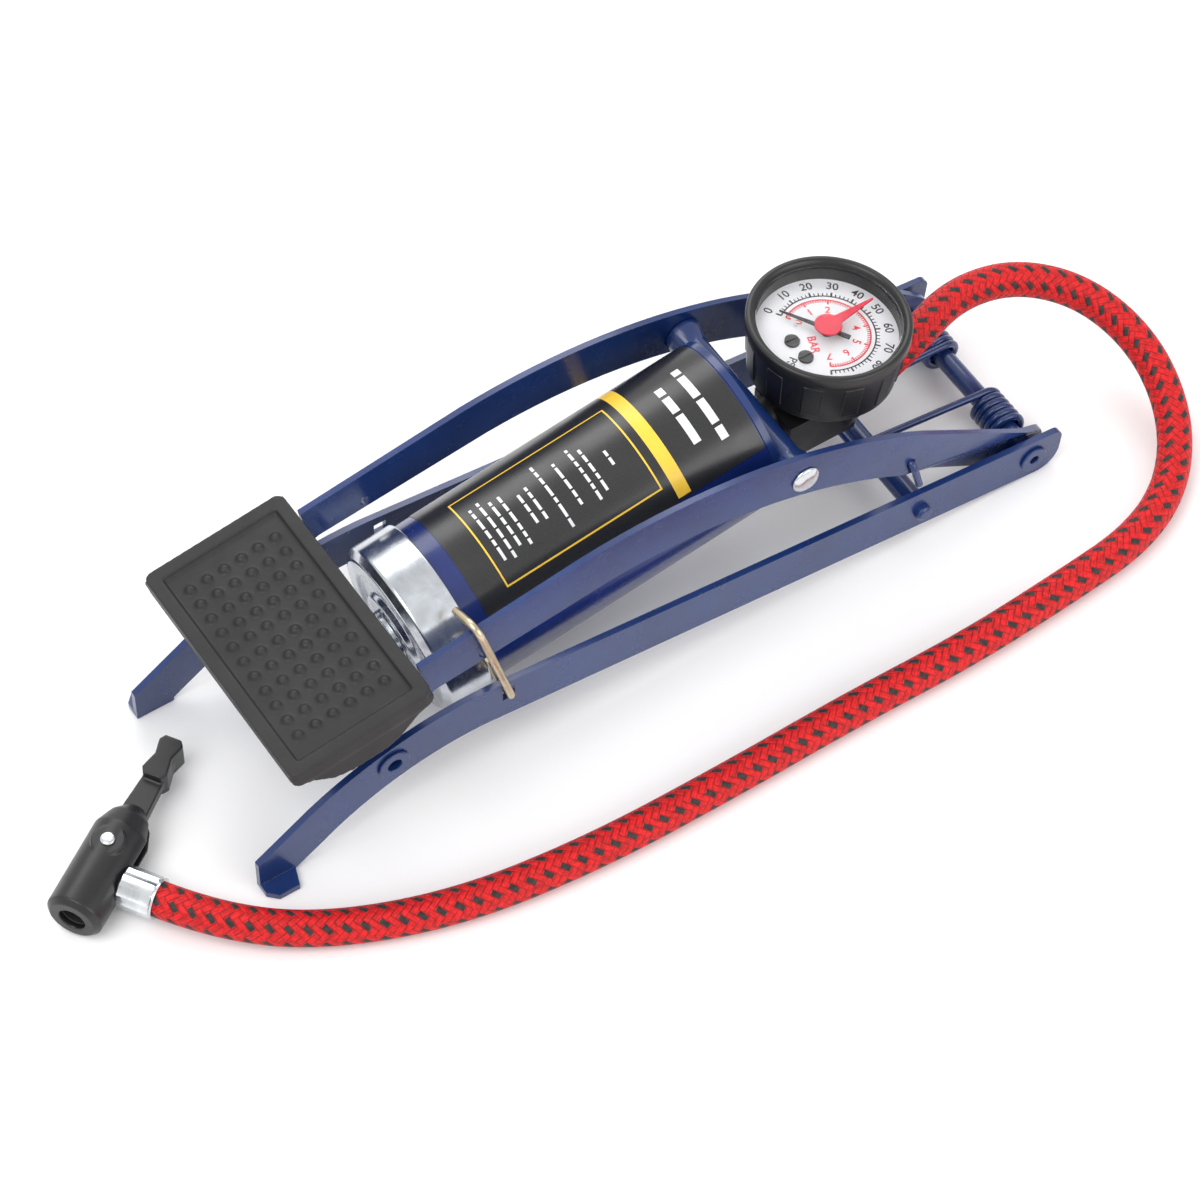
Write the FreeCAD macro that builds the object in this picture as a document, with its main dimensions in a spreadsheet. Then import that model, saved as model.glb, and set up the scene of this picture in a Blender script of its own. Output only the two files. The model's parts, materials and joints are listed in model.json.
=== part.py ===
"""Foot air pump: a sheet-steel scissor frame, a single barrel, a dial gauge and a braided hose.

Frame: +X towards the rear pivot, +Y away from the latch side, +Z up, millimetres.
The origin is the middle of the footprint of the pump without its hose, on the floor.
The pump is folded and latched. Its barrel lies along a slanted axis that starts at the front pin.
"""
import FreeCAD, Part
import math
import os

V = FreeCAD.Vector
Rotation = FreeCAD.Rotation
Placement = FreeCAD.Placement

# alias, value, what it is
SIZES = [
    ("pivot_x", 136.5, "rear pivot, along X"),
    ("pin_x", -99.8, "front pin, along X"),
    ("pin_z", 28.4, "front pin height"),
    ("head_x", 49.5, "cylinder head pivot, along X"),
    ("head_z", 57.0, "cylinder head pivot height"),
    ("rail_gap", 71.0, "between the inner faces of the base rails"),
    ("rail_wall", 2.2, "base rail sheet"),
    ("rail_tall", 16.0, "base rail depth"),
    ("rail_rise", 6.5, "slope of the base rail, degrees"),
    ("rail_fall", 33.0, "slope of the front foot, degrees"),
    ("rail_bend", 100.0, "bend radius of the base rail centre line"),
    ("rail_run", 199.8, "straight run of the rail, from the rear pivot"),
    ("rail_tail", 10.5, "rail beyond the rear pivot"),
    ("toe_x", -147.5, "front tip of the feet"),
    ("toe_out", 6.3, "how far a toe turns outwards"),
    ("toe_long", 13.0, "length of the turned toe"),
    ("arm_gap", 65.0, "between the inner faces of the pedal arms"),
    ("arm_wall", 2.0, "pedal arm sheet"),
    ("arm_tall", 17.0, "pedal arm depth"),
    ("arm_rise", 7.5, "slope of the arm in front, degrees"),
    ("arm_fall", 34.0, "slope of the arm behind, degrees"),
    ("arm_bend", 180.0, "bend radius of the arm centre line"),
    ("arm_run", 49.7, "straight run of the arm, from the rear pivot"),
    ("arm_end", 8.0, "end radius of the arm about the rear pivot"),
    ("arm_set", 3.0, "inward set of the arm at the rear pivot"),
    ("gusset_deep", 20.5, "depth of the arm under the pad, from the pad's top"),
    ("pad_x", -88.2, "rear edge of the pedal pad"),
    ("pad_z", 64.1, "top of the pad at its rear edge"),
    ("pad_slope", 8.33, "slope of the pad, degrees"),
    ("pad_long", 49.0, "pad, front to rear"),
    ("pad_wide", 86.6, "pad, side to side"),
    ("pad_thick", 6.0, "pad rubber over the pedal plate"),
    ("pad_rim", 1.2, "rim above the recessed panel"),
    ("rim_wide", 5.0, "width of the raised rim"),
    ("skirt_deep", 9.0, "side skirt below the pad"),
    ("skirt_wall", 3.0, "side skirt thickness"),
    ("stud_dia", 3.3, "grip stud diameter"),
    ("stud_tall", 0.9, "grip stud height"),
    ("stud_step_x", 6.4, "grip stud spacing, front to rear"),
    ("stud_step_y", 6.2, "grip stud spacing, side to side"),
    ("plate_wall", 2.0, "pedal plate sheet"),
    ("shaft_dia", 6.6, "rear pivot shaft"),
    ("front_pin_dia", 7.6, "front pin"),
    ("rod_dia", 7.5, "lower cross rod"),
    ("rod_x", 93.2, "lower cross rod, along X"),
    ("rod_z", 12.5, "lower cross rod height"),
    ("stub_dia", 5.6, "peened ends of the lower cross rod"),
    ("spacer_dia", 11.0, "front spacer tube outside"),
    ("eye_wide", 16.0, "piston rod eye, side to side"),
    ("eye_dia", 15.0, "piston rod eye outside"),
    ("run_gap", 0.05, "radial clearance of a running fit"),
    ("slide_gap", 0.04, "radial clearance of a sliding fit"),
    ("side_gap", 0.3, "clearance between moving side faces"),
    ("spring_wire", 2.4, "torsion spring wire"),
    ("spring_dia", 10.2, "mean diameter of the coils"),
    ("spring_turns", 6.0, "turns in each coil"),
    ("spring_in", 10.0, "inner end of each coil, from the middle"),
    ("slot_x", -59.1, "latch slot, along X"),
    ("slot_z", 33.0, "latch slot height"),
    ("slot_tall", 5.0, "latch slot height of opening"),
    ("slot_wide", 4.2, "latch slot width"),
    ("latch_wire", 2.5, "latch wire"),
    ("latch_gap", 0.8, "between the latch wire and the outside of the rail"),
    ("barrel_tilt", 8.66, "slope of the barrel axis, degrees"),
    ("barrel_dia", 55.0, "barrel outside"),
    ("barrel_wall", 1.2, "barrel sheet"),
    ("barrel_from", 26.6, "front end of the barrel, from the front pin"),
    ("barrel_to", 146.6, "rear end of the barrel, from the front pin"),
    ("label_from", 46.5, "front edge of the wrap label"),
    ("label_to", 146.0, "rear edge of the wrap label"),
    ("label_wall", 0.15, "wrap label film"),
    ("label_near", 57.0, "label from the top down the latch side, degrees"),
    ("label_far", 95.0, "label from the top down the far side, degrees"),
    ("cap_wall", 1.2, "front cap sheet over the barrel"),
    ("cap_from", 25.2, "front face of the cap"),
    ("cap_to", 40.3, "rear edge of the cap"),
    ("piston_dia", 50.0, "piston disc"),
    ("piston_at", 126.0, "front face of the piston at rest"),
    ("rod_steel", 8.0, "piston rod"),
    ("tube_dia", 9.0, "cross tube of the cylinder head"),
    ("rivet_dia", 5.4, "head pivot rivet shank"),
    ("rivet_head", 9.6, "head pivot rivet head"),
    ("gauge_x", 81.5, "middle of the gauge face, along X"),
    ("gauge_z", 77.1, "middle of the gauge face, height"),
    ("gauge_tilt", 5.8, "rearward tilt of the gauge, degrees"),
    ("gauge_dia", 51.6, "gauge case at the bezel"),
    ("gauge_tall", 23.0, "gauge case height"),
    ("block_z", 42.5, "height of the gauge block and the hose outlet"),
    ("outlet_turn", 15.0, "turn of the hose outlet towards the far side, degrees"),
    ("hose_dia", 11.2, "braided hose"),
    ("hose_gap", 0.35, "between each end of the hose and its sleeve"),
    ("ferrule_dia", 13.2, "crimped ferrule"),
    ("ferrule_long", 10.2, "crimped ferrule length"),
    ("chuck_dia", 18.0, "chuck body"),
    ("chuck_long", 42.0, "chuck body length"),
    ("chuck_bore", 8.6, "valve bore of the chuck"),
    ("chuck_turn", 33.0, "direction of the chuck on the floor, degrees"),
    ("chuck_pin_at", 24.8, "lever pin, from the mouth of the chuck"),
    ("chuck_pin_dia", 3.0, "lever pin"),
    ("lever_long", 43.0, "lever, from its pin"),
    ("lever_thick", 3.6, "lever arm thickness"),
    ("outlet_drop", 9.0, "outlet boss below the barrel axis"),
    ("outlet_dia", 14.0, "outlet boss outside"),
    ("air_bore", 4.0, "air passages"),
    ("ball_dia", 5.0, "outlet valve ball"),
    ("dial_deep", 7.5, "dial below the face of the gauge"),
]

# where the hose lies: from the pump's ferrule to the chuck's ferrule
HOSE_ROUTE = [
    (97.0, -4.0, 42.5), (114.4, 0.6, 42.5), (137.0, 9.4, 41.2), (160.6, 8.0, 36.4),
    (179.6, -4.6, 28.2), (188.2, -25.6, 18.4), (184.4, -48.4, 9.8), (169.8, -67.8, 5.8),
    (147.3, -79.4, 5.6), (115.1, -82.4, 5.6), (78.0, -84.8, 5.6), (34.0, -84.0, 5.6),
    (-12.0, -84.9, 5.6), (-60.0, -84.3, 5.6), (-104.0, -78.5, 5.6), (-142.0, -63.5, 5.6),
    (-166.5, -45.5, 9.0), (-176.8, -29.7, 9.0),
]

doc = FreeCAD.newDocument("foot_air_pump")
sheet = doc.addObject("Spreadsheet::Sheet", "Sizes")
PARTS = {}


def fill_sheet():
    for row, (alias, value, note) in enumerate(SIZES, start=1):
        sheet.set(f"A{row}", note)
        sheet.set(f"B{row}", str(value))
        sheet.setAlias(f"B{row}", alias)
    doc.recompute()


def val(alias):
    return float(sheet.get(alias))


def rad(alias):
    return math.radians(val(alias))


def keep(node, obj, place=None):
    """Make obj the sub-part called node, put where place says."""
    obj.Label = node
    if place is not None:
        obj.Placement = place
    PARTS[node] = obj
    return obj


# ---------------------------------------------------------------- plain solids

def cylinder(name, radius, height, base=(0, 0, 0), axis=(0, 0, 1)):
    """radius and height are expressions on the sheet."""
    obj = doc.addObject("Part::Cylinder", name)
    obj.setExpression("Radius", str(radius))
    obj.setExpression("Height", str(height))
    obj.Placement = Placement(V(*base), Rotation(V(0, 0, 1), V(*axis)))
    return obj


def across(name, radius, half_width, x, z):
    """A cylinder along Y through (x, z), as far on each side of the middle."""
    obj = cylinder(name, radius, f"2 * ({half_width})", axis=(0, 1, 0))
    doc.recompute()
    obj.Placement.Base = V(x, -obj.Height.Value / 2, z)
    return obj


def block(name, low, high):
    """A box between two corners."""
    obj = doc.addObject("Part::Box", name)
    obj.Length = high[0] - low[0]
    obj.Width = high[1] - low[1]
    obj.Height = high[2] - low[2]
    obj.Placement.Base = V(*low)
    return obj


def fuse(name, *pieces):
    obj = doc.addObject("Part::MultiFuse", name)
    obj.Shapes = list(pieces)
    return obj


def cut(name, base, *tools):
    obj = doc.addObject("Part::Cut", name)
    obj.Base = base
    obj.Tool = tools[0] if len(tools) == 1 else fuse(name + "Tools", *tools)
    return obj


def common(name, base, tool):
    obj = doc.addObject("Part::Common", name)
    obj.Base = base
    obj.Tool = tool
    return obj


def group(name, *pieces):
    """Several solids that don't touch, kept as one node."""
    obj = doc.addObject("Part::Compound", name)
    obj.Links = list(pieces)
    return obj


def shape_part(name, shape):
    obj = doc.addObject("Part::Feature", name)
    obj.Shape = shape
    return obj


# ------------------------------------------------------------ sketched solids

def on_circle(centre, radius, angle):
    return (centre[0] + radius * math.cos(angle), centre[1] + radius * math.sin(angle))


def outline(*items):
    """A closed outline of points and arcs; an arc is (centre, radius, first angle, last angle)."""
    edges = []
    ends = []
    for item in items:
        if isinstance(item[0], tuple):
            centre, radius, first, last = item
            circle = Part.Circle(V(centre[0], centre[1], 0), V(0, 0, 1), radius)
            edges.append(Part.ArcOfCircle(circle, min(first, last), max(first, last)))
            ends.append((on_circle(centre, radius, first), on_circle(centre, radius, last)))
        else:
            ends.append((item, item))
    for (_, start), (end, _) in zip(ends, ends[1:] + ends[:1]):
        if math.dist(start, end) > 1e-6:
            edges.append(Part.LineSegment(V(*start, 0), V(*end, 0)))
    return edges


def sketch_in(body, role, edges):
    plane = next(f for f in body.Origin.OriginFeatures if f.Role == role)
    sketch = body.newObject("Sketcher::SketchObject", body.Name + "Sketch")
    sketch.AttachmentSupport = [(plane, "")]
    sketch.MapMode = "FlatFace"
    for edge in edges:
        sketch.addGeometry(edge, False)
    doc.recompute()
    return sketch


def sheet_body(name, edges, thickness, inner_y):
    """A flat plate in the XZ plane, from inner_y towards -Y by thickness, an expression."""
    body = doc.addObject("PartDesign::Body", name)
    sketch = sketch_in(body, "XZ_Plane", edges)
    pad = body.newObject("PartDesign::Pad", name + "Pad")
    pad.Profile = sketch
    pad.setExpression("Length", str(thickness))
    body.Placement = Placement(V(0, inner_y, 0), Rotation())
    doc.recompute()
    return body


def flat_body(name, edges, thickness, place=None):
    """A flat plate in the XY plane, upwards by thickness, an expression."""
    body = doc.addObject("PartDesign::Body", name)
    sketch = sketch_in(body, "XY_Plane", edges)
    pad = body.newObject("PartDesign::Pad", name + "Pad")
    pad.Profile = sketch
    pad.setExpression("Length", str(thickness))
    if place is not None:
        body.Placement = place
    doc.recompute()
    return body


def turned(name, *items, place=None, sweep=360):
    """A body of revolution about X; the outline's points are (along X, radius)."""
    body = doc.addObject("PartDesign::Body", name)
    sketch = sketch_in(body, "XY_Plane", outline(*items))
    turn = body.newObject("PartDesign::Revolution", name + "Turn")
    turn.Profile = sketch
    turn.ReferenceAxis = (sketch, ["H_Axis"])
    turn.Angle = sweep
    if place is not None:
        body.Placement = place
    doc.recompute()
    return body


# ------------------------------------------------------------------- places

def pivot_z():
    """The rear pivot is as high as puts the rail's rounded end on the floor."""
    half = val("rail_tall") / 2
    return half + (val("rail_tail") - half) * math.sin(rad("rail_rise"))


def pivot():
    return (val("pivot_x"), pivot_z())


def along_y(x, z):
    """Turns a body made about X so that it lies along Y through (x, z)."""
    return Placement(V(x, 0, z), Rotation(V(1, 0, 0), V(0, 1, 0)))


def barrel_place():
    """The barrel's own frame: X along its axis, from the front pin."""
    return Placement(V(val("pin_x"), 0, val("pin_z")), Rotation(V(0, 1, 0), -val("barrel_tilt")))


def pad_place():
    """The pad's own frame: the middle of its rear top edge, X rearwards along the pad."""
    return Placement(V(val("pad_x"), 0, val("pad_z")), Rotation(V(0, 1, 0), -val("pad_slope")))


def gauge_place():
    """The gauge's own frame: the middle of its face, X up its axis."""
    tilt = rad("gauge_tilt")
    up = V(math.sin(tilt), 0, math.cos(tilt))
    return Placement(V(val("gauge_x"), 0, val("gauge_z")), Rotation(V(1, 0, 0), up))


def dial_place(depth):
    """A flat frame depth below the gauge's face, with Z up its axis."""
    turn = Rotation(V(0, 1, 0), val("gauge_tilt"))
    return Placement(V(val("gauge_x"), 0, val("gauge_z")), turn).multiply(
        Placement(V(0, 0, -depth), Rotation()))


CHUCK_INLET = 17.0
NIPPLE_REACH = 10.4


def chuck_place():
    """The chuck's own frame: the middle of its mouth, X along its bore, set by the hose's end."""
    turn = Rotation(V(0, 0, 1), val("chuck_turn"))
    reach = V(CHUCK_INLET, -(NIPPLE_REACH + val("ferrule_long")), 0)
    return Placement(V(*HOSE_ROUTE[-1]) - turn.multVec(reach), turn)


def rail_inner():
    return val("rail_gap") / 2


def rail_outer():
    return rail_inner() + val("rail_wall")


def arm_inner():
    return val("arm_gap") / 2


def arm_outer():
    return arm_inner() + val("arm_wall")


# --------------------------------------------------------------- base frame

def rail_outline():
    rise, fall = rad("rail_rise"), rad("rail_fall")
    half, bend = val("rail_tall") / 2, val("rail_bend")
    px, pz = pivot()
    up = (math.sin(rise), math.cos(rise))
    back = (math.cos(rise), -math.sin(rise))

    def at(back_by, up_by):
        return (px + back[0] * back_by + up[0] * up_by, pz + back[1] * back_by + up[1] * up_by)

    top_round = 3.0
    low = at(val("rail_tail") - half, 0)
    high = at(val("rail_tail") - top_round, half - top_round)
    centre = at(-val("rail_run"), -bend)
    over = math.pi / 2 + fall
    top_end = on_circle(centre, bend + half, over)
    low_end = on_circle(centre, bend - half, over)
    tip = (top_end[0] - val("toe_x")) * math.tan(fall)
    toe_back = low_end[0] - low_end[1] / math.tan(fall)
    return outline(
        (low, half, -rise - math.pi / 2, -rise),
        (high, top_round, -rise, math.pi / 2 - rise),
        (centre, bend + half, math.pi / 2 - rise, over),
        (val("toe_x"), top_end[1] - tip),
        (val("toe_x"), 0.0),
        (toe_back, 0.0),
        (centre, bend - half, over, math.pi / 2 - rise),
    )


def toe(name, side):
    """The foot's tip, turned outwards and flat on the floor."""
    x, out, long = val("toe_x"), val("toe_out"), val("toe_long")
    y = side * rail_inner()
    edge = side * (rail_outer() + out)
    edges = outline((x, y), (x + long, y), (x + long - 3.0, edge), (x + 3.0, edge), (x, edge - side * 3.0))
    return flat_body(name, edges, "Sizes.rail_wall")


def base_rail(node, side):
    inner_y = -rail_inner() if side < 0 else rail_outer()
    plate = sheet_body(node + "Plate", rail_outline(), "Sizes.rail_wall", inner_y)
    whole = fuse(node + "Whole", plate, toe(node + "Toe", side))
    reach = "Sizes.rail_gap"
    pivot_hole = across(node + "PivotHole", "Sizes.shaft_dia / 2", reach, *pivot())
    pin_hole = across(node + "PinHole", "Sizes.front_pin_dia / 2", reach, val("pin_x"), val("pin_z"))
    rod_hole = across(node + "RodHole", "Sizes.stub_dia / 2", reach, val("rod_x"), val("rod_z"))
    half_x, half_z = val("slot_wide") / 2, val("slot_tall") / 2
    slot = block(node + "Slot", (val("slot_x") - half_x, -2 * rail_inner(), val("slot_z") - half_z),
                 (val("slot_x") + half_x, 2 * rail_inner(), val("slot_z") + half_z))
    keep(node, cut(node, whole, pivot_hole, pin_hole, rod_hole, slot))


def hollow_pin(node, diameter, flange, bore, depth, head, x, z):
    """A through pin with rolled ends outside the rails."""
    r, end, out = val(diameter) / 2, rail_outer(), rail_outer() + head
    body = turned(node, (-out, bore), (-out, flange), (-end, flange), (-end, r), (end, r),
                  (end, flange), (out, flange), (out, bore), (out - depth, bore), (out - depth, 0),
                  (depth - out, 0), (depth - out, bore), place=along_y(x, z))
    keep(node, body)


def front_spacers():
    """Two tubes on the front pin, either side of the piston rod's eye."""
    start = val("eye_wide") / 2 + val("side_gap")
    long = rail_inner() - start
    tubes = []
    for side in (-1, 1):
        name = "Spacer" + ("Near" if side < 0 else "Far")
        base = (val("pin_x"), start if side > 0 else -start - long, val("pin_z"))
        outer = cylinder(name + "Outer", "Sizes.spacer_dia / 2", long, base, (0, 1, 0))
        inner = cylinder(name + "Inner", "Sizes.front_pin_dia / 2", long, base, (0, 1, 0))
        tubes.append(cut(name, outer, inner))
    keep("front_spacers", group("FrontSpacers", *tubes))


def lower_cross_rod():
    """A shouldered rod between the rails, with its ends peened over outside."""
    r, stub = val("rod_dia") / 2, val("stub_dia") / 2
    inner, out, end_round = rail_inner(), rail_outer() + 2.4, 0.8
    body = turned("LowerCrossRod", (-out, 0), (-out, stub - end_round), (-out + end_round, stub),
                  (-inner, stub),
                  (-inner, r), (inner, r), (inner, stub), (out - end_round, stub),
                  (out, stub - end_round), (out, 0), place=along_y(val("rod_x"), val("rod_z")))
    keep("lower_cross_rod", body)


# ------------------------------------------------------------ bent wire parts

def rounded_path(points, radii):
    """Straight runs joined by tangent arcs; radii are those of the inner points."""
    edges = []
    start = V(*points[0])
    for before, corner, after, radius in zip(points, points[1:], points[2:], radii):
        before, corner, after = V(*before), V(*corner), V(*after)
        back = (before - corner).normalize()
        ahead = (after - corner).normalize()
        half = back.getAngle(ahead) / 2
        first = corner + back * (radius / math.tan(half))
        last = corner + ahead * (radius / math.tan(half))
        middle = corner + (back + ahead).normalize() * (radius / math.sin(half) - radius)
        edges.append(Part.LineSegment(start, first).toShape())
        edges.append(Part.Arc(first, middle, last).toShape())
        start = last
    edges.append(Part.LineSegment(start, V(*points[-1])).toShape())
    return Part.Wire(edges)


def round_wire(path, radius, coiled=False):
    """A solid of round section along path."""
    first = path.OrderedEdges[0]
    start = first.valueAt(first.FirstParameter)
    tangent = first.tangentAt(first.FirstParameter)
    section = Part.Wire([Part.makeCircle(radius, start, tangent)])
    return path.makePipeShell([section], True, coiled)


def tangent_angle(target, radius, sense):
    """Where a straight from target touches a coil of this radius about the rear pivot."""
    px, pz = pivot()
    reach = math.dist(target, (px, pz))
    return math.atan2(target[1] - pz, target[0] - px) + sense * math.acos(radius / reach)


def torsion_spring():
    """Two coils on the rear shaft: a bridge in front joins them, and a leg hooks into each arm."""
    px, pz = pivot()
    r, wire = val("spring_dia") / 2, val("spring_wire")
    bridge, hook = (87.0, 18.2), (90.0, 35.7)
    first = tangent_angle(bridge, r, -1)
    last = tangent_angle(hook, r, 1) - 2 * math.pi * val("spring_turns")
    turns, pitch = (first - last) / (2 * math.pi), wire + 0.05
    start_y = val("spring_in") + wire / 2
    stop_y = start_y + turns * pitch
    helix = Part.makeHelix(pitch, turns * pitch, r)
    helix.rotate(V(0, 0, 0), V(1, 0, 0), -90)
    helix.rotate(V(0, 0, 0), V(0, 1, 0), -math.degrees(first))
    helix.translate(V(px, start_y, pz))

    def on_coil(angle, y):
        return (px + r * math.cos(angle), y, pz + r * math.sin(angle))

    bend, outside = 3.0, arm_outer() + wire / 2 + 0.3
    low = on_coil(last, stop_y)
    outer = rounded_path([low, (hook[0], arm_inner() - 4.6, hook[1]), (hook[0], outside, hook[1]),
                          (hook[0] + 2.7, outside, hook[1] - 11.0)], [bend, 1.8])
    far = [round_wire(helix, wire / 2, True), round_wire(outer, wire / 2)]
    near = [piece.mirror(V(0, 0, 0), V(0, 1, 0)) for piece in far]
    top = on_coil(first, start_y)
    corner = (bridge[0], start_y - 1.5, bridge[1])
    far_corner, far_top = (corner[0], -corner[1], corner[2]), (top[0], -top[1], top[2])
    bridge = round_wire(rounded_path([top, corner, far_corner, far_top], [bend, bend]), wire / 2)
    keep("torsion_spring", shape_part("TorsionSpring", Part.makeCompound(far + near + [bridge])))


# ------------------------------------------------------------- pedal frame

def on_pad(x, up):
    """A point of the pad's own frame, in the XZ plane of the pump."""
    place = pad_place().multVec(V(x, 0, up))
    return (place.x, place.z)


def arm_outline():
    rise, fall = rad("arm_rise"), rad("arm_fall")
    half, bend, run = val("arm_tall") / 2, val("arm_bend"), val("arm_run")
    px, pz = pivot()
    start, stop = math.pi / 2 - fall, math.pi / 2 + rise
    centre = (px - run * math.cos(fall) - bend * math.cos(start),
              pz + run * math.sin(fall) - bend * math.sin(start))
    deep, under = -val("gusset_deep"), -val("pad_thick") - val("plate_wall")
    return outline(
        ((px, pz), val("arm_end"), -math.pi / 2 - fall, math.pi / 2 - fall),
        (centre, bend + half, start, stop),
        on_pad(0.6, 0), on_pad(0.6, under), on_pad(-41.5, under),
        on_pad(-37.1, deep + 0.6), on_pad(-33.1, deep), on_pad(-14.9, deep), on_pad(4.0, deep + 5.2),
        (centre, bend - half, stop, start),
    )


def joggle(name, side):
    """A thick sheet that steps inwards below a slanting bend line, as the arm does behind."""
    low, high = (95.0, 28.0), (144.0, 15.0)
    along = V(low[0] - high[0], 0, low[1] - high[1]).normalize()
    up = V(0, 1, 0).cross(along)
    inset, inner, outer = val("arm_set"), arm_inner(), arm_outer()
    far = 300.0
    line = [(-far, inner - inset), (-3.0, inner - inset), (2.0, inner), (far, inner),
            (far, outer), (1.2, outer), (-3.8, outer - inset), (-far, outer - inset)]
    start = V(high[0], 0, high[1]) - along * 60
    place = Placement(start, Rotation(up, V(0, 1, 0), along, "ZXY"))
    step = flat_body(name + "Step", outline(*[(u, side * y) for u, y in line]), "165 mm", place)
    sides = sorted((side * inner, side * outer))
    flat = block(name + "Flat", (-200.0, sides[0], 0.0), (60.0, sides[1], 200.0))
    return fuse(name, step, flat)


def pedal_arm(node, side):
    outer_y = 0.0 if side < 0 else 2 * rail_outer()
    blank = sheet_body(node + "Blank", arm_outline(), "Sizes.rail_gap", outer_y)
    formed = common(node + "Formed", blank, joggle(node + "Joggle", side))
    reach = "Sizes.rail_gap"
    shaft = across(node + "Shaft", "Sizes.shaft_dia / 2 + Sizes.run_gap", reach, *pivot())
    rivet = across(node + "Rivet", "Sizes.rivet_dia / 2", reach, val("head_x"), val("head_z"))
    hook = across(node + "Hook", "Sizes.spring_wire / 2 + 0.4", reach, 90.0, 35.7)
    small = across(node + "Small", 1.6, reach, -65.5, 54.9)
    keep(node, cut(node, formed, shaft, rivet, hook, small))


def head_rivets():
    """Two short rivets of the cylinder head's pivot, flush with the arms' inner faces."""
    rivets = []
    for side in (-1, 1):
        r, head, shoulder, tall = val("rivet_dia") / 2, val("rivet_head") / 2, arm_outer(), 2.0
        place = Placement(V(val("head_x"), 0, val("head_z")), Rotation(V(1, 0, 0), V(0, side, 0)))
        rivets.append(turned("Rivet" + str(side + 1), (arm_inner(), 0), (arm_inner(), r), (shoulder, r),
                             (shoulder, head), (shoulder + tall * 0.4, head),
                             (shoulder + tall * 0.85, head * 0.7),
                             (shoulder + tall, head * 0.35), (shoulder + tall, 0), place=place))
    keep("head_rivets", group("HeadRivets", *rivets))


def pedal_plate():
    top, under = -val("pad_thick"), -val("pad_thick") - val("plate_wall")
    half = val("pad_wide") / 2 - val("skirt_wall") - 0.5
    plate = block("PedalPlate", (-val("pad_long") + 2.5, -half, under), (-2.5, half, top))
    keep("pedal_plate", plate, pad_place().multiply(plate.Placement))


def pedal_pad():
    """The rubber pad: a raised rim, a recessed panel of studs and a skirt down each side."""
    long, half, thick = val("pad_long"), val("pad_wide") / 2, val("pad_thick")
    rim, wide = val("pad_rim"), val("rim_wide")
    slab = block("PadSlab", (-long, -half, -thick), (0, half, 0))
    recess = block("PadRecess", (-long + wide, -half + wide, -rim), (-wide, half - wide, 1))
    pieces = [cut("PadTray", slab, recess)]
    for side in (-1, 1):
        inner_y = half if side > 0 else -half + val("skirt_wall")
        edge, deep = -thick + 1.0, -thick - val("skirt_deep")
        skirt = outline((0.0, edge), (0.0, edge - 0.5), (-6.0, -thick - 1.5), (-14.0, deep + 1.5),
                        (-20.0, deep),
                        (-long + 20.0, deep), (-long + 13.0, deep + 1.5), (-long + 6.0, -thick - 1.5),
                        (-long, edge - 0.5), (-long, edge))
        pieces.append(sheet_body("Skirt" + str(side + 1), skirt, "Sizes.skirt_wall", inner_y))
    across_y, along_x = 11, 6
    first = cylinder("Stud", "Sizes.stud_dia / 2", "Sizes.stud_tall + 0.2")
    doc.recompute()
    step_x, step_y = val("stud_step_x"), val("stud_step_y")
    shapes = []
    for i in range(along_x):
        for j in range(across_y):
            x = -long / 2 + (i - (along_x - 1) / 2) * step_x
            y = (j - (across_y - 1) / 2) * step_y
            shapes.append(first.Shape.translated(V(x, y, -rim - 0.2)))
    pieces.append(shape_part("Studs", Part.makeCompound(shapes)))
    keep("pedal_pad", fuse("PedalPad", *pieces), pad_place())


# ---------------------------------------------------------------- piston rod

def piston_rod():
    """The rod with its eye, made about the barrel's axis."""
    r, stop = val("rod_steel") / 2, val("piston_at") + 12.0
    rod = turned("RodBar", (0, 0), (0, r), (val("piston_at"), r), (val("piston_at"), r - 1.5),
                 (stop - 0.8, r - 1.5), (stop, r - 2.3), (stop, 0))
    eye = cylinder("EyeOuter", "Sizes.eye_dia / 2", "Sizes.eye_wide", (0, -val("eye_wide") / 2, 0), (0, 1, 0))
    bore = across("EyeBore", "Sizes.front_pin_dia / 2 + Sizes.run_gap", "Sizes.eye_wide", 0, 0)
    keep("piston_rod", cut("PistonRod", fuse("RodAndEye", rod, eye), bore), barrel_place())


def piston_stack():
    """Piston disc, cup seal, washer and nut on the end of the rod."""
    at, stub = val("piston_at"), val("rod_steel") / 2 - 1.5
    inside = val("barrel_dia") / 2 - val("barrel_wall")
    disc = val("piston_dia") / 2
    place = barrel_place()
    keep("piston_disc", turned("PistonDisc", (at, stub), (at, disc - 1), (at + 1, disc), (at + 3, disc),
                               (at + 3, stub), place=place))
    lip = inside - val("slide_gap")
    keep("cup_seal", turned("CupSeal", (at + 3, stub), (at + 3, lip - 2), (at + 4, lip), (at + 9.5, lip),
                            (at + 9.5, lip - 0.8), (at + 6.5, lip - 3.5), (at + 6.5, stub), place=place))
    keep("seal_washer", turned("SealWasher", (at + 6.5, stub), (at + 6.5, 17), (at + 8, 17), (at + 8, stub),
                               place=place))
    nut = doc.addObject("Part::Prism", "NutHex")
    nut.Polygon = 6
    nut.Circumradius = 5.2
    nut.Height = 3.2
    hole = cylinder("NutHole", stub, 3.2)
    piece = cut("PistonNut", nut, hole)
    keep("piston_nut", piece, place.multiply(Placement(V(at + 8, 0, 0), Rotation(V(0, 1, 0), 90))))


# ------------------------------------------------------------------ cylinder

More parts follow.
